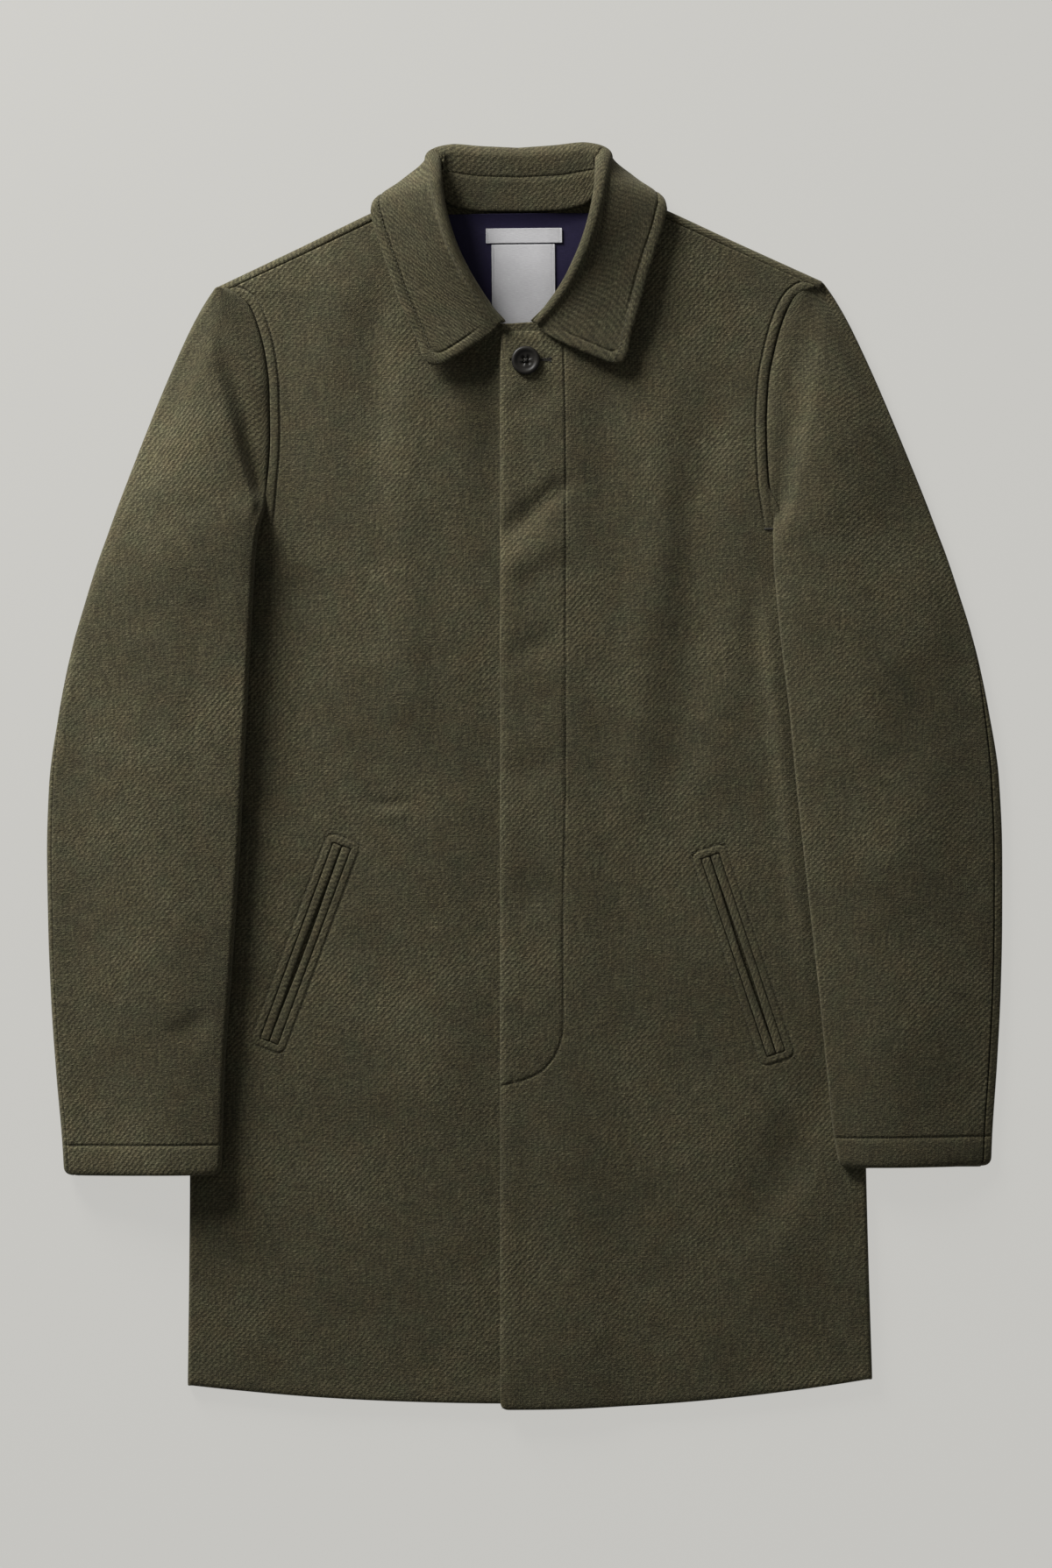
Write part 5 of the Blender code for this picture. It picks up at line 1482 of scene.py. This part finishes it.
def collar():
    """The collar's fall and its stand, parted at the seam between them, and the stitches of the fall."""
    lines, stand_count, over = collar_lines()
    grid = lines[:, ::-1].copy()
    reach = row_lengths(lines)
    along = row_lengths(lines.transpose(1, 0, 2)).T
    middle = len(lines) // 2
    marks = np.stack([along - along[middle], reach, 0.0 * reach], axis=-1)[:, ::-1]
    from_edge = (reach[:, -1:] - reach)[:, ::-1]
    from_front = np.minimum(along, along[-1:] - along)[:, ::-1]
    from_seam = (reach - reach[:, stand_count - 1 : stand_count])[:, ::-1]
    on_fall = ease((from_seam - FALL_START) / FALL_RUN)
    border = np.minimum(from_edge, from_front + BORDER_OFF * (1.0 - on_fall))
    relief = puff(border, COLLAR_STITCH, COLLAR_PUFF, 0.5) + groove(border - COLLAR_STITCH)
    relief += edge_roll(border, COLLAR_ROLL_WIDTH, COLLAR_ROLL)
    relief *= ease(over)[:, None] * ease((from_seam - BORDER_START) / BORDER_RUN)
    relief += FAINT * groove(from_seam - STAND_SEAM_STITCH)
    relief += edge_roll(abs(from_seam), STAND_SEAM_WIDTH, STAND_SEAM_ROLL)
    relief += COLLAR_WAVES * crease_height("collar", grid[..., 0], grid[..., 1])
    lift = grid_normals(grid) * relief[..., None]
    raised = grid + lift
    raised[..., 2] = np.maximum(raised[..., 2], 0.0)
    split = grid.shape[1] - stand_count
    on_line = slice(0, split + 1)
    normals = grid_normals(raised[:, on_line])
    fall = round_corner(grid[:, on_line].copy(), False, False, COLLAR_CORNER)
    fall = round_corner(fall, True, False, COLLAR_CORNER) + lift[:, on_line]
    fall[..., 2] = np.maximum(fall[..., 2], 0.0)
    fall = inset(fall, COLLAR_EDGE_INSET, FALL_SEAM_INSET, COLLAR_EDGE_INSET, COLLAR_EDGE_INSET)
    of_fall = marks[:, on_line]
    cloth_piece("collar_fall", fall, COLLAR_CLOTH, COLLAR_WOOL_SHADED, "wool_twill", of_fall, 8.0, normals)
    stitches("collar_stitches", collar_stitch_line(fall), TONAL_THREAD, "wool_twill")
    stand = inset(raised[STAND_TRIM:-STAND_TRIM, split:], *STAND_INSET)
    of_stand = marks[STAND_TRIM:-STAND_TRIM, split:]
    cloth_piece("collar_stand", stand, COLLAR_CLOTH, COLLAR_WOOL_SHADED, "wool_twill", of_stand, 9.0)


def welt_section():
    """A welt from its fold at the mouth over its padded top to its seam: places, and heights."""
    angle = np.linspace(-math.pi / 2.0, math.pi / 2.0, 19)
    place = np.concatenate([[-1.0, -1.0], np.sin(angle), [1.0, 1.0]])
    top = WELT_RISE * np.cos(angle) ** 0.5
    legs = np.array([-WELT_LEG, -WELT_LEG / 2.0])
    return place, np.concatenate([legs, top, legs[::-1]])


def welts():
    """Two padded welts in each pocket's recess, which part a little along the mouth."""
    ends = EDGE_STEPS / POCKET_LENGTH
    run = np.concatenate([-0.5 + ends, np.linspace(-0.43, 0.43, 50), 0.5 - ends[::-1]])[:, None]
    place, height = welt_section()
    for side, sign in SIDES.items():
        centre, along, across = pocket_axes(side)
        for name, hand in (("front", -sign), ("side", sign)):
            low = WELT_GAP + WELT_PARTING * np.sin(math.pi * (run + 0.5)) ** 2 * (1.0 - 0.5 * run)
            high = WELT_WIDTH - WELT_EDGE
            off = hand * ((low + high) / 2.0 + place * (high - low) / 2.0)
            x = centre[0] + along[0] * run * POCKET_LENGTH + across[0] * off
            y = centre[1] + along[1] * run * POCKET_LENGTH + across[1] * off
            level = front_form(x, y) + crease_height(f"front_{side}", x, y)
            level += lap(x) if side == "left" else 0.0
            rolled = edge_roll((0.5 - abs(run)) * POCKET_LENGTH, WELT_ROLL_WIDTH, WELT_ROLL)
            grid = np.stack([x, y, level + WELT_STAND - WELT_RISE + height + rolled], axis=-1)
            grid = grid if hand > 0.0 else grid[:, ::-1].copy()
            marks = cloth_marks(grid, POCKETS[side].lean * sign)
            grid = inset(grid, *WELT_INSET)
            node = f"welt_{name}_{side}"
            cloth_piece(node, grid, WELT_CLOTH, WOOL, "wool_twill", marks, 10.0 + hand)


def back_height(x, y):
    """The height of the back's inner face behind the neck."""
    turn = NECK_TURN * math.pi
    radius = math.pi * SHOULDER_FOLD / turn
    past = np.clip(y - shoulder_y(x) + radius * math.sin(turn), 0.0, radius)
    return ground(x, y) + radius - np.sqrt(radius**2 - past**2) + LINING_REST


def patch_grid(x_low, x_high, y_low, y_high, lift, step):
    """Points a height above the back's inner face, between edges that may slope with y."""
    shares = graded(y_high - y_low, step) / (y_high - y_low)
    steps = graded(x_high[1] - x_low[1], step) / (x_high[1] - x_low[1])
    low = x_low[0] + (x_low[1] - x_low[0]) * shares[:, None]
    high = x_high[0] + (x_high[1] - x_high[0]) * shares[:, None]
    x = low + (high - low) * steps
    y = y_low + (y_high - y_low) * shares[:, None] + 0.0 * x
    return np.stack([x, y, back_height(x, y) + lift], axis=-1)


def neck():
    """The lining that shows in the neck, with two bare labels sewn on it."""
    lift = 1.6 * REST_GAP + LINING_CLOTH
    foot, head = LINING_HALF_FOOT, LINING_HALF_TOP
    grid = patch_grid((-foot, -head), (foot, head), LINING_FOOT_Y, LINING_TOP_Y, lift, LINING_STEP)
    x, y = grid[..., 0], grid[..., 1]
    grid[..., 2] += LINING_WAVE * np.sin(x / 0.011 + 1.0) * np.sin(y / 0.017)
    cloth_piece("lining", grid, LINING_CLOTH, LINING, "lining", cloth_marks(grid), 12.0)
    lift += REST_GAP + LABEL_CLOTH
    for name, spot in LABELS.items():
        low, high = spot["x"]
        y_low, y_high = spot["y"]
        grid = patch_grid((low, low), (high, high), y_low, y_high, lift, LABEL_STEP)
        x, y = grid[..., 0], grid[..., 1]
        from_side = np.minimum(x - low, high - x)
        grid[..., 2] += LABEL_SWELL * ease(from_side / LABEL_SWELL_RUN)
        grid[..., 2] += LABEL_WAVE * np.sin(x / 0.006 + y / 0.009)
        grid[..., 2] -= LABEL_DIP * np.exp(-(((from_side - LABEL_STITCH) / LABEL_DIP_WIDTH) ** 2))
        cloth_piece(name, grid, LABEL_CLOTH, LABEL, "label", cloth_marks(grid), 13.0)
        for end, edge in (("start", low + LABEL_STITCH), ("end", high - LABEL_STITCH)):
            marks = np.linspace(y_low + SEAM_INSET, y_high - SEAM_INSET, 60)
            path = np.stack([np.full(60, edge), marks, back_height(edge, marks) + lift], axis=1)
            stitches(f"{name}_stitches_{end}", path, PALE_THREAD, "label", *LABEL_THREAD)


# Stitches

def stitch_parts(path, pitch, length, radius):
    """The points and faces of a row of small thread stitches along a path."""
    reach = np.concatenate([[0.0], np.cumsum(np.linalg.norm(np.diff(path, axis=0), axis=1))])
    sides = STITCH_SIDES
    last = (len(STITCH_RINGS) - 1) * sides
    points, faces = [], []
    for middle in np.arange(pitch / 2.0, reach[-1] - pitch / 2.0, pitch):
        first = len(points)
        marks = [middle + share * length for share, _ in STITCH_RINGS]
        spots = np.stack([np.interp(marks, reach, path[:, axis]) for axis in range(3)], axis=1)
        run = spots[-1] - spots[0]
        run /= np.linalg.norm(run)
        across = np.cross(run, (0.0, 0.0, 1.0))
        across /= np.linalg.norm(across)
        up = np.cross(across, run)
        for (share, width), centre in zip(STITCH_RINGS, spots):
            arch = radius * (0.6 - 5.0 * share**2)
            for k in range(sides):
                angle = 2.0 * math.pi * k / sides
                offset = across * math.cos(angle) + up * math.sin(angle)
                points.append(centre + up * arch + offset * radius * width)
        for ring in range(first, first + last, sides):
            for k in range(sides):
                a = ring + k
                b = ring + (k + 1) % sides
                faces.append((a, a + sides, b + sides, b))
        faces.append(tuple(first + k for k in range(sides)))
        faces.append(tuple(first + last + k for k in reversed(range(sides))))
    return points, faces


def stitches(name, path, material, slot, pitch=STITCH_PITCH, length=STITCH_LENGTH, radius=THREAD_RADIUS):
    points, faces = stitch_parts(path, pitch, length, radius)
    mesh = bpy.data.meshes.new(name)
    mesh.from_pydata([tuple(p) for p in points], [], faces)
    mesh.shade_smooth()
    add_piece(name, mesh, material, slot)


def front_path(side, plan):
    """A path in plan laid on a front."""
    z = front_height(side, plan[:, 0], plan[:, 1])
    return np.column_stack([plan, z]) + ON_CLOTH


def pocket_frame(side):
    """The sewn line round a pocket in plan."""
    centre, along, across = pocket_axes(side)
    far = POCKET_LENGTH / 2.0 + POCKET_FRAME
    wide = WELT_WIDTH + POCKET_FRAME
    corners = [(-far, -wide), (far, -wide), (far, wide), (-far, wide), (-far, -wide)]
    plan = []
    for (a, c), (b, d) in zip(corners[:-1], corners[1:]):
        for share in np.linspace(0.0, 1.0, 40)[:-1]:
            plan.append(centre + along * (a + (b - a) * share) + across * (c + (d - c) * share))
    return np.array(plan)


def sewn_lines():
    """The rows of stitches on the fronts: fly, pockets, armholes, and the tack at the left armhole."""
    fly = smooth_path(FLY_STITCH, FLY_PATH_STEP)
    fly = fly[(fly[:, 1] < FLY_STITCH_TOP) & (fly[:, 0] > fly_x(fly[:, 1]) + FLY_PATH_STEP)]
    stitches("fly_stitches", front_path("left", fly), TONAL_THREAD, "wool_twill")
    for side, sign in SIDES.items():
        plan = pocket_frame(side)
        stitches(f"pocket_stitches_{side}", front_path(side, plan), TONAL_THREAD, "wool_twill")
        arm = armhole_line(side)
        step = np.gradient(arm, axis=0)
        step /= np.linalg.norm(step, axis=1, keepdims=True)
        inward = np.stack([-step[:, 1], step[:, 0]], axis=1) * sign
        plan = arm + inward * ARMHOLE_STITCH
        plan = plan[plan[:, 1] > ARMHOLE_STITCH_FOOT + ARMHOLE_STITCH_START]
        stitches(f"armhole_stitches_{side}", front_path(side, plan), TONAL_THREAD, "wool_twill")
    tack = np.stack([np.linspace(*TACK_X, 14), np.full(14, TACK_Y)], axis=1)
    for number in range(2):
        path = front_path("left", tack + np.array((0.0, TACK_STEP * number)))
        stitches(f"tack_{number}", path, DARK_THREAD, "wool_twill", *TACK_THREAD)


# Button and buttonhole

def turned(name, profile, centre, steps=72):
    """A closed mesh turned about an upright axis, from (radius, height) pairs that start and end on it."""
    x, y, z = centre
    points = [(x, y, z + profile[0][1]), (x, y, z + profile[-1][1])]
    rings = profile[1:-1]
    for radius, height in rings:
        for k in range(steps):
            angle = 2.0 * math.pi * k / steps
            points.append((x + radius * math.cos(angle), y + radius * math.sin(angle), z + height))
    faces = []
    for k in range(steps):
        after = (k + 1) % steps
        faces.append((0, 2 + k, 2 + after))
        last = 2 + (len(rings) - 1) * steps
        faces.append((1, last + after, last + k))
        for ring in range(len(rings) - 1):
            a = 2 + ring * steps
            b = a + steps
            faces.append((a + k, b + k, b + after, a + after))
    mesh = bpy.data.meshes.new(name)
    mesh.from_pydata(points, [], faces)
    mesh.shade_smooth()
    return mesh


def button():
    """The four-hole button: a dished face in a rounded rim, pierced, with crossed threads."""
    x, y = BUTTON_CENTRE
    seat = float(front_form(x, y) + lap(x)) + REST_GAP
    high = seat + BUTTON_HEIGHT
    r = BUTTON_RADIUS
    profile = [
        (0.0, -0.0011),
        (r - 0.0052, -0.0011),
        (r - 0.0042, -0.0009),
        (r - 0.0034, -0.0004),
        (r - 0.0026, 0.0),
        (r - 0.0015, 0.0001),
        (r - 0.0006, -0.0003),
        (r - 0.0001, -0.0010),
        (r, -0.0017),
        (r - 0.0003, -0.0023),
        (r - 0.0012, -0.0030),
        (r - 0.0030, -BUTTON_HEIGHT),
        (0.0, -BUTTON_HEIGHT),
    ]
    disc = add_piece("button_disc", turned("button_disc", profile, (x, y, high)), HORN, "button", "button")
    spots = []
    for quarter in range(4):
        angle = math.pi / 4.0 + quarter * math.pi / 2.0
        spots.append((x + HOLE_REACH * math.cos(angle), y + HOLE_REACH * math.sin(angle)))
    for spot in spots:
        place = (*spot, high)
        bpy.ops.mesh.primitive_cylinder_add(vertices=20, radius=HOLE_RADIUS, depth=0.02, location=place)
        drill = bpy.context.active_object
        cut = disc.modifiers.new("hole", "BOOLEAN")
        cut.object = drill
        bpy.context.view_layer.objects.active = disc
        bpy.ops.object.modifier_apply(modifier=cut.name)
        bpy.data.objects.remove(drill)
    for number, (a, b) in enumerate(((0, 2), (1, 3))):
        start = np.array((*spots[a], high - THREAD_SINK))
        end = np.array((*spots[b], high - THREAD_SINK))
        lift = np.array((0.0, 0.0, THREAD_LIFT + THREAD_CROSS * number))
        middle = (start + end) / 2.0 + lift * 1.2
        path = np.array([start - lift * 2.0, start + lift, middle, end + lift, end - lift * 2.0])
        length = float(np.linalg.norm(np.diff(path, axis=0), axis=1).sum())
        size = (length * 0.98, length * 0.9, BUTTON_THREAD)
        stitches(f"button_thread_{number}", path, DARK_THREAD, "button", *size)


def buttonhole():
    """The end of the buttonhole beside the button: a slit bound with close stitches."""
    start_x = BUTTON_CENTRE[0] + SLIT_START
    end_x, level = BUTTONHOLE_END
    for number, off in enumerate((-BUTTONHOLE_SLIT, BUTTONHOLE_SLIT)):
        plan = np.stack([np.linspace(start_x, end_x, 20), np.full(20, level + off)], axis=1)
        path = front_path("left", plan)
        stitches(f"buttonhole_edge_{number}", path, DARK_THREAD, "wool_twill", *HOLE_THREAD)
    plan = np.stack([np.full(12, end_x), np.linspace(level - BAR_HALF, level + BAR_HALF, 12)], axis=1)
    stitches("buttonhole_bar", front_path("left", plan), DARK_THREAD, "wool_twill", *BAR_THREAD)


# Stage

def stage():
    """The pale surface the coat lies on, soft studio light from the upper left, and the camera above."""
    bpy.ops.mesh.primitive_plane_add(size=FLOOR_SIZE, location=(0.0, 0.0, FLOOR_Z))
    floor = bpy.context.active_object
    floor.name = "floor"
    material, shader = start_material("pale_floor", 0.9, specular=0.0)
    shader.inputs["Base Color"].default_value = (*FLOOR_COLOUR, 1.0)
    shader.inputs["Emission Color"].default_value = (*FLOOR_GLOW, 1.0)
    shader.inputs["Emission Strength"].default_value = 1.0
    floor.data.materials.append(material)

    light = bpy.data.lights.new("key", "AREA")
    light.shape = "DISK"
    light.size = KEY_SIZE
    light.energy = KEY_POWER
    light.color = KEY_COLOUR
    lamp = bpy.data.objects.new("key", light)
    lamp.location = KEY_PLACE
    lamp.rotation_euler = (-Vector(KEY_PLACE)).to_track_quat("-Z", "Y").to_euler()
    bpy.context.scene.collection.objects.link(lamp)
    world = bpy.data.worlds.new("studio")
    world.use_nodes = True
    world.node_tree.nodes["Background"].inputs["Color"].default_value = (1.0, 1.0, 1.0, 1.0)
    world.node_tree.nodes["Background"].inputs["Strength"].default_value = SKY
    bpy.context.scene.world = world
    bpy.context.scene.view_settings.view_transform = "Standard"

    view = bpy.data.cameras.new("camera")
    view.sensor_width = SENSOR * 1000.0
    view.lens = SENSOR * 1000.0 * CAMERA_DISTANCE / VIEW_HEIGHT
    view.clip_end = 20.0
    camera = bpy.data.objects.new("camera", view)
    camera.location = (*VIEW_CENTRE, CAMERA_DISTANCE + VIEW_LEVEL)
    camera.rotation_euler = (0.0, 0.0, CAMERA_TURN)
    bpy.context.scene.collection.objects.link(camera)
    bpy.context.scene.camera = camera


back()
fronts()
sleeves()
collar()
sewn_lines()
welts()
neck()
button()
buttonhole()
stage()
